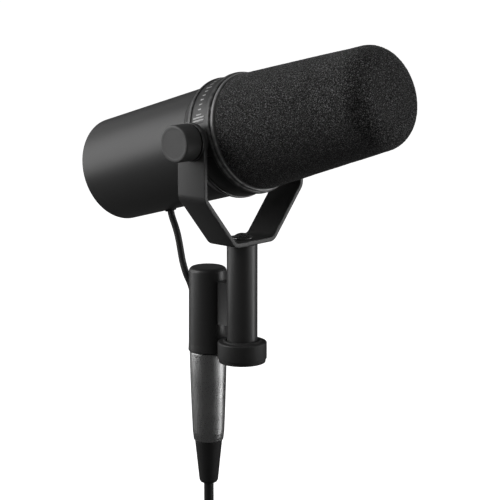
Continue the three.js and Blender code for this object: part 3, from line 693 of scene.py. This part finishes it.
def ring_profile(size, low_fillet, high_fillet):
    return [(size.inner, size.low), (size.outer, size.low, low_fillet),
            (size.outer, size.high, high_fillet), (size.inner, size.high)]


# ---------- the plugged cable ----------
CABLE_R = 2.6
BOOT_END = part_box("plug_boot")[0].z / MM  # where the cable leaves the plug's boot
COIL = {"radii": (35.45, 30.1, 24.75, 19.4), "offsets": (7.95, 2.65, -2.65, -7.95), "bend": 19.0}
COIL_END = (19.4, 13.25)  # where the last turn has moved out of the coil's side
COIL_CENTRE = middle("cable_coil") / MM
TURN_STEPS = 48
SHIFT = (300.0, 345.0)  # degrees of each turn over which the cable moves across to its next lie
TAIL = (middle("far_boot").x / MM, middle("far_boot").y / MM)
TAIL_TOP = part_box("far_boot")[1].z / MM


def eased(share):
    share = min(1.0, max(0.0, share))
    return share * share * (3 - 2 * share)


def coil_lies():
    """(radius, offset along the coil's axis) of each turn, outermost layer first, to and fro."""
    lies = []
    for layer, radius in enumerate(COIL["radii"]):
        order = COIL["offsets"] if layer % 2 == 0 else COIL["offsets"][::-1]
        lies += [(radius, offset) for offset in order]
    return lies


def coil_point(degrees, radius, offset):
    """A point at an angle past the coil's top, towards the +X side."""
    a = math.radians(degrees)
    return Vector((radius * math.sin(a), COIL_CENTRE.y + offset, COIL_CENTRE.z + radius * math.cos(a)))


def cable_path():
    bend, outer = COIL["bend"], COIL["radii"][0]
    lies = coil_lies()
    turn_in = math.asin(bend / (outer + bend))
    bend_z = COIL_CENTRE.z + (outer + bend) * math.cos(turn_in)
    path = [Vector((0, INLET_Y / MM, BOOT_END + (bend_z - BOOT_END) * k / 6)) for k in range(6)]
    sweep = math.pi / 2 - turn_in
    for k in range(15):
        angle = sweep * k / 15
        across = lies[0][1] * eased((k / 15 - 0.2) / 0.8)
        x, z = bend * (1 - math.cos(angle)), bend_z - bend * math.sin(angle)
        path.append(Vector((x, COIL_CENTRE.y + across, z)))
    first = math.degrees(turn_in)
    for turn, (radius, offset) in enumerate(lies):
        next_radius, next_offset = lies[turn + 1] if turn + 1 < len(lies) else COIL_END
        for k in range(TURN_STEPS):
            degrees = 360 * k / TURN_STEPS
            if turn == 0 and degrees < first:
                continue
            share = eased((degrees - SHIFT[0]) / (SHIFT[1] - SHIFT[0]))
            path.append(coil_point(degrees, radius + (next_radius - radius) * share,
                                   offset + (next_offset - offset) * share))
    tail = [
        coil_point(0, *COIL_END),
        Vector((6.6, 38.1, -122.8)),
        Vector((12.8, 39.1, -126.2)),
        Vector((17.6, 41.3, -132.0)),
        Vector((20.2, 44.2, -139.8)),
        Vector((TAIL[0], TAIL[1], -148.5)),
        Vector((TAIL[0], TAIL[1], TAIL_TOP)),
    ]
    return path + smooth_path(tail, 5)


def add_cable():
    data = bpy.data.curves.new("cable", "CURVE")
    data.dimensions = "3D"
    data.bevel_depth, data.bevel_resolution = CABLE_R * MM, 5
    data.use_fill_caps = True
    path = cable_path()
    spline = data.splines.new("POLY")
    spline.points.add(len(path) - 1)
    for point, place in zip(spline.points, path):
        point.co = (*(place * MM), 1)
    spline.use_smooth = True
    return dress(linked("cable", data), "cable", "cable_drop", "cable_coil", "cable_tail")


SHELL = span("plug_shell", INLET)
SHELL_MOUTH, PLUG_BOTTOM = 1.6, -46.7
NOSE_R, NECK_R, NECK_LONG = 7.9, 6.65, 7
HUNG = Matrix.Translation((TAIL[0] * MM, TAIL[1] * MM, 0))
SLEEVE = [(9.75, SHELL_MOUTH, 0.35), (9.45, -13, 60), (8.9, -30, 60), (8.4, -42, 12),
          (7.85, PLUG_BOTTOM, 0.35)]
BOOT_BORE = CABLE_R + 0.05
BOOT = [(BOOT_BORE, -41), (6.2, -41), (6.2, -47), (7.3, -47, 0.3), (7.05, -49, 0.8), (5, BOOT_END + 1.3, 1.1),
        (4.3, BOOT_END, 0.5), (BOOT_BORE, BOOT_END)]


def hung(profile):
    """The plug's profile turned over for the connector that hangs with its cable end up."""
    return [(p[0], BOOT_END + TAIL_TOP - p[1], *p[2:]) for p in profile]


def add_plug():
    wall, top = 0.9, SHELL.high
    profile = [(NOSE_R - wall, top), (NOSE_R, top, 0.25), (NOSE_R, SHELL_MOUTH), *SLEEVE,
               (NECK_R, PLUG_BOTTOM), (NOSE_R - wall, PLUG_BOTTOM + NECK_LONG)]
    shell = lathe("plug_sleeve", profile, INLET, 112)
    low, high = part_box("plug_latch")
    room, near, far = 0.4, 5.7, 12.7
    half = (high.x - low.x) / MM / 2 + room
    outline = [(-half, near), (half, near), (half, far), (-half, far)]
    cut(shell, prism(outline, low.z / MM - room, high.z / MM + room, INLET))
    boot = turned("plug_strain_relief", "plug_boot", "cable", BOOT, INLET, 72)
    return [dress(shell, "cable", "plug_shell"), boot]


def add_latch():
    low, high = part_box("plug_latch")
    half_x, half_z = (high.x - low.x) / MM / 2, (high.z - low.z) / MM / 2
    back, valley, crest = -2.0, 1.75, 2.1
    ribs = [(-half_x + 0.01, back), (half_x - 0.01, back), (half_x, valley)]
    for k in range(5):
        x = half_x - 0.75 - k * (2 * half_x - 1.5) / 4
        ribs += [(x + 0.45, crest), (x, valley)] if k < 4 else [(x + 0.3, crest)]
    ribs.append((-half_x, valley))
    latch = slab("plug_release", ribs, -half_z, half_z, 0.3, placed(middle("plug_latch"), (0, 0, 1)))
    return dress(latch, "latch", "plug_latch")


def add_far_connector():
    mouth = SHELL.high - 2
    profile = hung([(NOSE_R, mouth), (SLEEVE[0][0], mouth, 0.4), *SLEEVE[1:], (NECK_R, PLUG_BOTTOM),
                    (NOSE_R - 1, PLUG_BOTTOM + NECK_LONG), (NOSE_R, SHELL_MOUTH - 6)])
    pieces = [turned("far_sleeve", "far_shell", "cable", profile, HUNG, 112),
              turned("far_strain_relief", "far_boot", "cable", hung(BOOT), HUNG, 72)]
    for k in (1, 2, 3):
        node = f"far_pin_{k}"
        centre = Matrix.Translation((middle(node).x, middle(node).y, 0))
        pieces.append(add_pin(f"far_contact_{k}", node, centre, "cable"))
    return pieces


def add_pin(name, node, place, body):
    """A round contact with a domed tip, the same size as its CAD node."""
    size = span(node, place)
    tip_down = node.startswith(("inlet", "far"))
    tip, base = (size.low, size.high) if tip_down else (size.high, size.low)
    profile = [(0, base), (size.outer, base), (size.outer, tip, 0.9), (0, tip)]
    return turned(name, node, body, profile, place, 28)


def add_tie():
    """A hook-and-loop band round the coil's section, its tongue lapped over its start."""
    low, high = COIL["radii"][-1] - CABLE_R - 1.2, COIL["radii"][0] + CABLE_R + 1.2
    half_y, corner, thick, lift, step = 10.5, 2.4, 0.6, 0.72, 1.5
    corners = [(-half_y, low, corner), (half_y, low, corner), (half_y, high, corner), (-half_y, high, corner)]
    loop = [Vector((x, y)) for x, y, _ in rounded(corners, closed=True, steps=8)]
    fine = []
    for a, b in zip(loop, loop[1:] + loop[:1]):
        count = max(1, round((b - a).length / step))
        fine += [a.lerp(b, k / count) for k in range(count)]
    start = len(fine) // 2 + 6
    fine = fine[start:] + fine[:start]
    lap = 12
    line = fine + fine[:lap]
    lengths = [0.0]
    for a, b in zip(line, line[1:]):
        lengths.append(lengths[-1] + (b - a).length)
    half = lengths[-1] / 2
    centre = Vector((0, (low + high) / 2))
    lean = math.radians(-110)

    def at(s, w, h):
        along = min(max(s + half, 0.0), lengths[-1])
        i = max(k for k in range(len(lengths)) if lengths[k] <= along + 1e-9)
        i = min(i, len(line) - 2)
        share = (along - lengths[i]) / (lengths[i + 1] - lengths[i])
        point = line[i].lerp(line[i + 1], share)
        ahead = (line[i + 1] - line[i]).normalized()
        out = Vector((ahead.y, -ahead.x))
        if out.dot(point - centre) < 0:
            out = -out
        rise = lift * eased((along - (lengths[-1] - lengths[lap]) + 3) / 3)
        point = point + out * (h + thick / 2 + rise)
        x = w * math.cos(lean) + point.y * math.sin(lean)
        z = -w * math.sin(lean) + point.y * math.cos(lean)
        return (x, COIL_CENTRE.y + point.x, COIL_CENTRE.z + z)

    stations = [s - half for s in lengths[2:-2]]
    band = plate("coil_wrap", half, 5.0, 1.5, thick, 0.2, at, stations)
    return dress(band, "cable", "coil_tie")


cable = add_cable()
plug_pieces = add_plug() + [add_latch()] + add_far_connector() + [add_tie()]


# ---------- the microphone's own lead ----------
LEAD_R = 1.8
LEAD_POINTS = [  # mm, from inside the head's grommet round the slack loop to the inlet's grommet
    (0, 51.8, 75.1), (0, 50.9, 71.3), (0, 49.6, 68.2), (0, 48.1, 65.2), (0, 46.3, 60.6), (0, 45, 55.9),
    (0, 44, 51.5), (0, 42.7, 46.5), (0, 41.1, 42.4), (0.4, 39.9, 39.2), (1.2, 38.6, 35.8), (2.2, 37.9, 31.5),
    (3.2, 37.9, 25.5), (5.2, 38, 19.5), (8.8, 37, 14.2), (13.6, 34.4, 11.4), (18.2, 30.8, 12.6),
    (21.2, 27.4, 17.4), (20.8, 25.2, 23.2), (17.4, 24.4, 27), (10.9, 24.4, 27.5),
]


def add_lead():
    path = smooth_path([Vector(p) * MM for p in LEAD_POINTS], 6)
    lead = tube("mic_cord", path, LEAD_R * MM, 20)
    dress(lead, None, "mic_lead")
    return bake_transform(lead)


# ---------- head ----------
def add_housing():
    size = span("body_housing", HEAD)
    wall = 1.6
    front_r, rear_r = size.outer, 27.5
    profile = [(rear_r - wall, size.low, 0.4), (rear_r, size.low, 0.9), (front_r, size.high, 0.3),
               (front_r - wall, size.high)]
    return turned("housing_shell", "body_housing", "head", profile, HEAD, 144, 6)


# The collar's two label recesses: mm along the head and out from it, and degrees short of each pivot.
BAND = {"rear": -5.4, "front": 5.6, "floor": 29.7, "end": 15.6, "corner": 2.4}


def band_depth(radius, z, angle):
    """How deep the collar's surface lies at a point, with a sloped wall round each recess."""
    past = abs(math.degrees(math.asin(abs(math.sin(angle)))))
    along = math.radians(past - 90) * radius
    half_s = math.radians(90 - BAND["end"]) * radius
    half_w, mid = (BAND["front"] - BAND["rear"]) / 2, (BAND["front"] + BAND["rear"]) / 2
    corner = BAND["corner"]
    dx = max(0.0, abs(along) - (half_s - corner))
    dz = max(0.0, abs(z - mid) - (half_w - corner))
    outside = math.hypot(dx, dz) - corner
    if dx == 0 or dz == 0:
        outside = max(abs(along) - half_s, abs(z - mid) - half_w)
    return eased(-outside / 0.35)


def collar_angles():
    """The degrees round the collar, close together where the recesses end."""
    angles = []
    for side in (0, 180):
        for turn in (1, -1):
            start = side + (0 if turn == 1 else 180)
            angles += [start + turn * d for d in [0, 5, 10, 12.5]]
            angles += [start + turn * (13.2 + 0.45 * k) for k in range(18)]
            angles += [start + turn * (24 + 3 * k) for k in range(22)]
    return sorted(set(round(a % 360, 4) for a in angles) | {90.0, 270.0})


def add_collar():
    size = span("front_collar", HEAD)
    r, flare_end, bore = size.outer, -6.2, size.inner
    shoulder = size.high - 1.3
    housing_r = span("body_housing", HEAD).outer
    rows = [(bore, size.high), (bore, size.low)]
    for k in range(11):
        share = k / 10
        rows.append((housing_r + (r - housing_r) * eased(share), size.low + (flare_end - size.low) * share))
    z, close, wide = flare_end + 0.2, 0.22, 0.7
    while z < shoulder:
        rows.append((r, z))
        z += close if (z < BAND["rear"] + 2.6 or z > BAND["front"] - 2.8) else wide
    front = rounded([(r, shoulder), (r, size.high, 0.9), (r - 3, size.high)], False)
    rows += [(radius, z) for radius, z, _ in front]
    angles = collar_angles()
    points, edges = [], []
    for radius, z in rows:
        for degrees in angles:
            a = math.radians(degrees)
            out, worn = radius, 0.0
            # worn sets where the lighter edge colour goes: painted highlight on the recess walls, at the flare's
            # end and on the front rim, with some rubbed wear.
            if radius > r - 0.2 and flare_end < z < shoulder + 0.1:
                depth = band_depth(radius, z, a)
                out = radius - (r - BAND["floor"]) * depth
                worn = 1.0 if 0 < depth < 0.6 else 0.0
            elif flare_end - 0.9 <= z <= flare_end + 0.2 and radius > r - 0.2:
                worn = 0.8
            elif z > shoulder and radius > bore + 1:
                worn = 0.7
            points.append((out * math.cos(a), out * math.sin(a), z))
            edges.append(worn)
    count = len(angles)
    rings = [range(i * count, (i + 1) * count) for i in range(len(rows))]
    collar = build("collar", points, ring_faces(rings, True), HEAD, edges, sharp=50)
    return dress(collar, "head", "front_collar")


def add_label(side, node):
    """A curved plate in one of the collar's recesses; the upper one carries a row of plain marks."""
    size = span(node, HEAD)
    gap, print_gap, print_thick = 0.3, 0.02, 0.08
    rear, front = BAND["rear"] + gap, BAND["front"] - gap
    half_w, mid = (front - rear) / 2, (front + rear) / 2
    base = BAND["floor"] + gap
    thick = size.outer - base
    half_s = math.radians(90 - BAND["end"]) * base - gap

    def around(level, centre=0.0):
        def at(s, w, h):
            angle = -side * math.pi / 2 + (s + centre) / base
            out = level + h
            return (out * math.cos(angle), out * math.sin(angle), mid + w)
        return at

    stations = [half_s * 0.9 * k / 40 for k in range(-40, 41)]
    name = "upper" if side > 0 else "lower"
    body = plate(f"label_plate_{name}", half_s, half_w, 2.1, thick, 0.15, around(base + thick / 2), stations,
                 HEAD)
    dress(body, "head", node)
    if name == "lower":
        return
    count, reach = 25, half_s - 4.5
    marks = []  # place along the band, half length, half width and corner of each
    for k in range(count):
        marks.append((-reach + 2 * reach * k / (count - 1), 0.34, 1.9 if k % 6 == 0 else 1.1, 0.3))
    for end in (-1, 1):
        for row in (-1, 1):
            marks.append((end * (half_s - 2.2) + row * 0.75, 0.4, half_w - 1.4, 0.35))
    level = size.outer + print_gap
    plates = [plate("mark", *sizes, print_thick, 0.02, around(level, centre), place=HEAD, steps=2)
              for centre, *sizes in marks]
    printed = joined("label_marks_upper", plates)
    printed.data.materials.append(LOOKS["print"])
    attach(printed, "head")


def add_ring():
    profile = ring_profile(span("retaining_ring", HEAD), 0.35, 0.6)
    return turned("front_ring", "retaining_ring", "head", profile, HEAD, 144, 5)


def add_foam():
    """The windscreen: an outer surface roughened by its open cells, over a plain bore."""
    size = span("foam_windscreen", HEAD)
    front_r, round_r, crown = 24.9, 10.5, 0.7
    bore, bore_end, bore_round = 20.0, 81.0, 10
    sides, step = 260, 0.62
    pits, ripples, sink = 0.2, 0.16, 0.1  # mm
    rear_r = size.outer
    outer = rounded([(rear_r - 3, size.low), (rear_r, size.low, 1.6),
                     (front_r + 0.05, size.high - crown, round_r),
                     (front_r - round_r - 2, size.high - crown * 0.45, 8), (0, size.high)], False, steps=14)
    outer = [Vector(p[:2]) for p in outer]
    fine = [outer[0]]
    for a, b in zip(outer, outer[1:]):
        count = max(1, round((b - a).length / step))
        fine += [a.lerp(b, k / count) for k in range(1, count + 1)]
    inner = [(0.0, bore_end), *arc_points(bore_round, 90, 0, 8, bore - bore_round, bore_end - bore_round),
             (bore, size.low)]
    points, rows = [], []

    def row(radius, z, rough):
        count = sides if radius > 0.4 else 1
        rows.append(range(len(points), len(points) + count))
        for k in range(count):
            a = 2 * math.pi * k / sides
            p = Vector((radius * math.cos(a), radius * math.sin(a), z))
            if rough:
                grain = noise.noise(p * 0.95) * 0.55 + noise.noise(p * 2.1) * 0.45
                wave = noise.noise(p * 0.07 + Vector((5, 0, 0)))
                lift = pits * grain + ripples * wave - sink
                out = Vector((p.x, p.y, 0)).normalized() if radius > front_r - 6 else Vector((0, 0, 0))
                ahead = Vector((0, 0, 1)) * eased((z - (size.high - round_r)) / round_r)
                p += (out * (1 - 0.6 * ahead.z) + ahead).normalized() * lift
            points.append(p)

    for radius, z in inner:
        row(radius, z, False)
    for p in fine:
        row(max(p.x, 0.0), p.y, p.y > size.low + 0.4)
    foam = build("windscreen_foam", points, ring_faces(rows, False), HEAD, sharp=180)
    dress(foam, "windscreen", "foam_windscreen")
    return foam


def add_cage():
    """A woven wire basket on a turned base, under the windscreen."""
    size = span("grille_cage", HEAD)
    r, dome, foot, flange = 19.6, 9.6, 12.0, 7.9
    top, cap_r = size.high, 4.2
    base = lathe("cage_base", [(r - 1.2, size.low), (size.outer, size.low, 0.3), (size.outer, flange, 0.3),
                               (r + 0.3, flange), (r + 0.3, foot, 0.3), (r - 1.2, foot)], HEAD, 96)
    cap = lathe("cage_cap", [(0, top - 1.0), (cap_r, top - 1.0), (cap_r, top, 0.4), (0, top)], HEAD, 48)
    columns, pitch = 46, 1.36
    line = [(r, foot - 1.0), *arc_points(dome, 0, 90, 12, r - dome, top - dome - 0.3), (4.0, top - 0.3)]
    line = [Vector(p) for p in line]
    levels, travelled = [], 0.0
    for a, b in zip(line, line[1:]):
        length = (b - a).length
        while travelled < length:
            levels.append(a.lerp(b, travelled / length))
            travelled += pitch
        travelled -= length
    points = []
    for i, level in enumerate(levels):
        for k in range(columns):
            a = 2 * math.pi * (k + 0.5 * (i % 2)) / columns
            points.append((level.x * math.cos(a), level.x * math.sin(a), level.y))
    faces = []
    for i in range(len(levels) - 2):
        for k in range(columns):
            side = (k + (1 if i % 2 else 0)) % columns
            row, upper, top_row = (columns * (i + step) for step in range(3))
            faces.append((row + k, upper + side, top_row + k, upper + (side - 1) % columns))
    net = build("cage_net", points, faces, HEAD)
    wire = net.modifiers.new("wire", "WIREFRAME")
    wire.thickness, wire.use_even_offset, wire.use_boundary = 0.62 * MM, False, True
    bpy.context.view_layer.update()
    baked(net)
    basket = joined("wire_basket", [base, cap, net])
    for face in basket.data.polygons:
        face.use_smooth = True
    basket.data.set_sharp_from_angle(angle=math.radians(60))
    return dress(basket, "head", "grille_cage")


def cross_outline(reach, half):
    """The outline of a cross recess: how far its arms reach, and half their width."""
    outline = []
    for quarter in range(4):
        turn = Matrix.Rotation(math.pi / 2 * quarter, 2)
        outline += [tuple(turn @ Vector(corner)) for corner in ((reach, -half), (reach, half), (half, half))]
    return outline


def add_switch_key(node, low, high):
    """The ribbed key of a slide switch."""
    body = node.replace("_slider", "")
    half_x, z0, z1 = (high.x - low.x) / 2, low.z, high.z
    outline = [(-half_x, z1), (-half_x, z0)]
    for k in range(4):
        x = -half_x + (k + 0.5) * half_x / 2
        outline += [(x - 0.1, z0), (x, z0 + 0.35), (x + 0.1, z0)]
    outline += [(half_x, z0), (half_x, z1)]
    centre = (low + high) / 2 * MM
    place = HEAD @ Matrix.Translation((centre.x, centre.y, 0)) @ Matrix.Rotation(math.pi / 2, 4, "X")
    half = (high.y - low.y) / 2
    dress(slab(f"{body}_key", outline, -half, half, 0.2, place), body, node)


def add_rear_screw(number, seat):
    node = f"rear_screw_{number}"
    low, high = node_box(node, HEAD)
    centre = (low + high) / 2 * MM
    place = HEAD @ Matrix.Translation((centre.x, centre.y, 0))
    size = span(node, place)
    shank, edge, top = 1.2, 2.4, 1.7
    profile = [(0, size.low), (top, size.low, 0.35), (edge, seat), (shank, seat), (shank, size.high),
               (0, size.high)]
    screw = lathe(f"back_screw_{number}", profile, place, 40)
    cross = prism(cross_outline(1.15, 0.22), size.low - 0.5, size.low + 0.6, place)
    dress(cut(screw, cross), "head", node)


def add_rear():
    size = span("rear_plate", HEAD)
    profile = [(0, size.low), (size.outer, size.low, 0.4), (size.outer, size.high), (0, size.high)]
    disc = lathe("rear_disc", profile, HEAD, 128)
    sliders = {node: node_box(node, HEAD) for node in ("low_cut_slider", "presence_slider")}
    windows = []
    for node, (low, high) in sliders.items():
        travel = JOINTS[node.replace("slider", "slide")]["range_m"][1] / MM
        outline = box_outline((high.x - low.x + travel) / 2 + 0.4, (high.y - low.y) / 2 + 0.4,
                              (low.x + high.x + travel) / 2, (low.y + high.y) / 2, 0.5)
        windows.append(prism(outline, size.low - 1, size.high + 1, HEAD))
    dress(cut(disc, *windows), "head", "rear_plate")
    for node, (low, high) in sliders.items():
        add_switch_key(node, low, high)
    for number in (1, 2, 3):
        add_rear_screw(number, size.low - 0.3)


def add_gland(name, node, place, body, ribs):
    """A rubber grommet with flexing ribs along its taper."""
    size = span(node, place)
    base, tip, bore = size.outer, 2.85, LEAD_R + 0.08
    length = size.high - size.low
    profile = [(bore, size.low), (base, size.low, 0.25), (base, size.low + length * 0.55, 0.4)]
    for k in range(ribs):
        z = size.low + length * (0.6 + 0.1 * k)
        r = base - 0.1 * (k + 1)
        profile += [(r - 0.4, z, 0.1), (r - 0.4, z + 0.25, 0.1), (r, z + 0.3, 0.12),
                    (r, z + length * 0.09, 0.12)]
    profile += [(tip, size.high, 0.4), (bore, size.high)]
    return turned(name, node, body, profile, place, 48)


def add_head():
    add_housing()
    add_collar()
    add_label(1, "label_band_upper")
    add_label(-1, "label_band_lower")
    add_ring()
    add_foam()
    add_cage()
    add_rear()
    gland_at = HEAD @ Matrix.Translation((0, 0, -61.5 * MM))
    down = placed(gland_at.translation, HEAD.to_3x3() @ Vector((0, 1, 0)))
    add_gland("body_grommet", "body_lead_gland", down, "head", 0)
    for side, place in (("left", LEFT), ("right", RIGHT)):
        node = f"pivot_boss_{side}"
        size = span(node, place)
        profile = [(size.inner, size.low), (size.outer, size.low), (size.outer, size.high, 0.5),
                   (size.inner, size.high, 0.3)]
        turned(f"pivot_hub_{side}", node, "head", profile, place, 64)


# ---------- yoke and stand adapter ----------
YOKE = {"bend_z": 88.9, "foot_x": 14.5, "bend_r": 4.0, "edge": 0.42}
STRAP_THICK = 2.3


def strap_line():
    """(length along the strap, point, outward normal) down one arm and along the foot to the other."""
    low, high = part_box("yoke")
    arm_x, foot_z = high.x / MM, low.z / MM
    slope = math.atan2(YOKE["bend_z"] - foot_z, arm_x - YOKE["foot_x"])
    half = STRAP_THICK / 2
    bend = Vector((arm_x - half, YOKE["bend_z"] + half * math.tan((math.pi / 2 - slope) / 2)))
    foot = Vector((YOKE["foot_x"] - half * math.tan(slope / 2), foot_z + half))
    top = Vector((arm_x - half, PIVOT.z / MM))
    radius = YOKE["bend_r"] + half
    corners = [(-top.x, top.y), (-bend.x, bend.y, radius), (-foot.x, foot.y, radius),
               (foot.x, foot.y, radius), (bend.x, bend.y, radius), (top.x, top.y)]
    line = [Vector(p[:2]) for p in rounded(corners, False, steps=10)]
    rows, travelled = [], 0.0
    for i, p in enumerate(line):
        if i:
            travelled += (p - line[i - 1]).length
        ahead = (line[min(i + 1, len(line) - 1)] - line[max(i - 1, 0)]).normalized()
        rows.append((travelled, p, Vector((ahead.y, -ahead.x)), ahead))
    return rows


def add_yoke():
    rows = strap_line()
    low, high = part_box("yoke")
    half_w = (high.y - low.y) / MM / 2
    total = rows[-1][0]

    def at(s, w, h):
        along = s + total / 2
        if along <= 0:
            _, p, out, ahead = rows[0]
            spot = p + ahead * along + out * h
        elif along >= total:
            _, p, out, ahead = rows[-1]
            spot = p + ahead * (along - total) + out * h
        else:
            i = max(k for k in range(len(rows)) if rows[k][0] <= along + 1e-6)
            i = min(i, len(rows) - 2)
            share = (along - rows[i][0]) / (rows[i + 1][0] - rows[i][0])
            out = rows[i][2].lerp(rows[i + 1][2], share).normalized()
            spot = rows[i][1].lerp(rows[i + 1][1], share) + out * h
        return (spot.x, w, spot.y)

    stations = [row[0] - total / 2 for row in rows]
    yoke = plate("yoke_strap", total / 2 + half_w, half_w, half_w, STRAP_THICK, YOKE["edge"], at, stations,
                 steps=16)
    return dress(yoke, "mount", "yoke")


def add_knob(side, place):
    node = f"knob_{side}"
    size = span(node, place)
    washer = span(f"knob_washer_{side}", place)
    stud_r, inner = 2.9, washer.high + 0.3
    r, face, dish = size.outer, size.high, size.high - 0.06
    profile = [(0, size.low), (stud_r, size.low, 0.4), (stud_r, inner), (r - 0.4, inner, 0.3),
               (r, inner + 0.7, 0.4), (r, face, 0.8), (r - 1.6, face, 0.3), (r - 2.0, dish, 0.3), (0, dish)]
    turned(f"{side}_clamp_knob", node, f"{side}_knob", profile, place, 112, 5)
    turned(f"{side}_washer", f"knob_washer_{side}", "mount", ring_profile(washer, 0.3, 0.3), place, 96)


def add_bolt():
    size = span("yoke_bolt", STAND)
    washer = span("bolt_washer", STAND)
    seat = washer.high + 0.3
    r, top = 4.4, size.high
    ball = ((top - seat) ** 2 + r ** 2) / (2 * (top - seat))
    angles = [math.asin(r / ball) * (1 - k / 10) for k in range(10)]
    dome = [(ball * math.sin(a), top - ball * (1 - math.cos(a))) for a in angles]
    profile = [(0, size.low), (2.4, size.low, 0.4), (2.4, seat), *dome, (0, top)]
    bolt = lathe("strap_bolt", profile, STAND, 72)
    socket = prism(arc_points(1.6, 32, 332, 5), top - 1.6, top + 1)
    dress(cut(bolt, socket), "mount", "yoke_bolt")
    turned("strap_washer", "bolt_washer", "mount", ring_profile(washer, 0.2, 0.35), STAND, 72)


def add_tube():
    size = span("adapter_tube", STAND)
    bore, bore_top, bolt_bore, bolt_deep = 5.9, 26.9, 2.7, 12
    profile = [(0, bore_top), (bore, bore_top), (bore, size.low), (size.outer, size.low, 0.3),
               (size.outer, size.high, 0.4), (bolt_bore, size.high), (bolt_bore, size.high - bolt_deep),
               (0, size.high - bolt_deep)]
    return turned("stand_tube", "adapter_tube", "mount", profile, STAND, 112)


THREAD = {"pitch": 0.94, "depth": 0.45, "low": 0.5, "high": 6.2}


def thread(radius, z, angle):
    """Cuts the stand thread's helix into the nut's bore."""
    if radius > 7.75 or not THREAD["low"] < z < THREAD["high"]:
        return radius
    share = (z / THREAD["pitch"] - angle / (2 * math.pi)) % 1
    fade = eased((z - THREAD["low"]) / 0.5) * eased((THREAD["high"] - z) / 0.5)
    return radius + THREAD["depth"] * fade * (1 - abs(2 * share - 1))


def add_nut():
    size = span("stand_nut", STAND)
    r, foot_r, foot, top, lip_r, thread_r = size.outer, 12.1, 1.6, 10.8, 9.1, size.inner
    throat, chamber_r, chamber_low, chamber_high = 8.3, 10.2, 6.2, 8.9
    turns = [(thread_r, chamber_low - k * THREAD["pitch"] / 8) for k in range(1, 49)]
    profile = [(thread_r, chamber_low)] + [p for p in turns if p[1] > THREAD["low"]]
    profile += [(thread_r, THREAD["low"]), (thread_r + 0.5, 0), (foot_r, 0, 0.25), (foot_r, foot, 0.12),
                (r, foot + 0.35, 0.3), (r, top, 0.8), (lip_r + 0.9, top, 0.25),
                (lip_r + 0.35, size.high, 0.45), (throat, size.high, 0.2), (throat, chamber_high),
                (chamber_r, chamber_high), (chamber_r, chamber_low)]
    return dress(lathe("stand_thread_nut", profile, STAND, 120, thread), "captive_nut", "stand_nut")


# ---------- XLR inlet ----------
def add_inlet():
    size = span("inlet_housing", INLET)
    wall, roof = 1.5, 3.0
    r = size.outer
    profile = [(0, size.high), (r - 0.4, size.high, 2.4), (r - 0.05, size.low + 4, 9),
               (r + 0.2, size.low, 0.45), (r - wall, size.low), (r - wall, size.high - roof),
               (0, size.high - roof)]
    turned("inlet_shell", "inlet_housing", "mount", profile, INLET, 112, 7)
    low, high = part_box("inlet_bracket")
    half = high.x / MM
    tube_r, gap = span("adapter_tube", STAND).outer + 0.25, INLET_Y / MM
    near = math.degrees(math.asin(half / tube_r))
    far_r = r + 0.2
    far = math.degrees(math.asin(half / far_r))
    outline = arc_points(tube_r, 90 + near, 90 - near, 6)
    outline += arc_points(far_r, 270 + far, 270 - far, 6, 0, gap)
    bracket = slab("inlet_arm", outline[::-1], low.z / MM, high.z / MM, 0.45)
    dress(bracket, "mount", "inlet_bracket")
    for k in (1, 2, 3):
        node = f"inlet_pin_{k}"
        add_pin(f"inlet_contact_{k}", node, Matrix.Translation((middle(node).x, middle(node).y, 0)), "mount")
    centre = middle("inlet_lead_gland")
    sideways = placed((0, centre.y, centre.z), (1, 0, 0), (0, 1, 0))
    add_gland("inlet_grommet", "inlet_lead_gland", sideways, "mount", 3)


# ---------- pieces that keep their CAD shape ----------
KEPT = (
    "front_bulkhead", "isolation_tube", "cartridge", "cartridge_cap", "hum_cancelling_coil",
    "front_shock_mount", "rear_shock_mount", "rear_bulkhead", "transformer", "switch_board",
    "low_cut_switch", "presence_switch", "nut_retaining_flange", "inlet_insert", "plug_insert", "far_insert",
)

add_lead()
add_head()
add_yoke()
add_knob("left", LEFT)
add_knob("right", RIGHT)
add_bolt()
add_tube()
add_nut()
add_inlet()
for node in KEPT:
    for holder in frame["nodes"][node].material_slots:
        holder.material = LOOKS[SLOTS[node]]
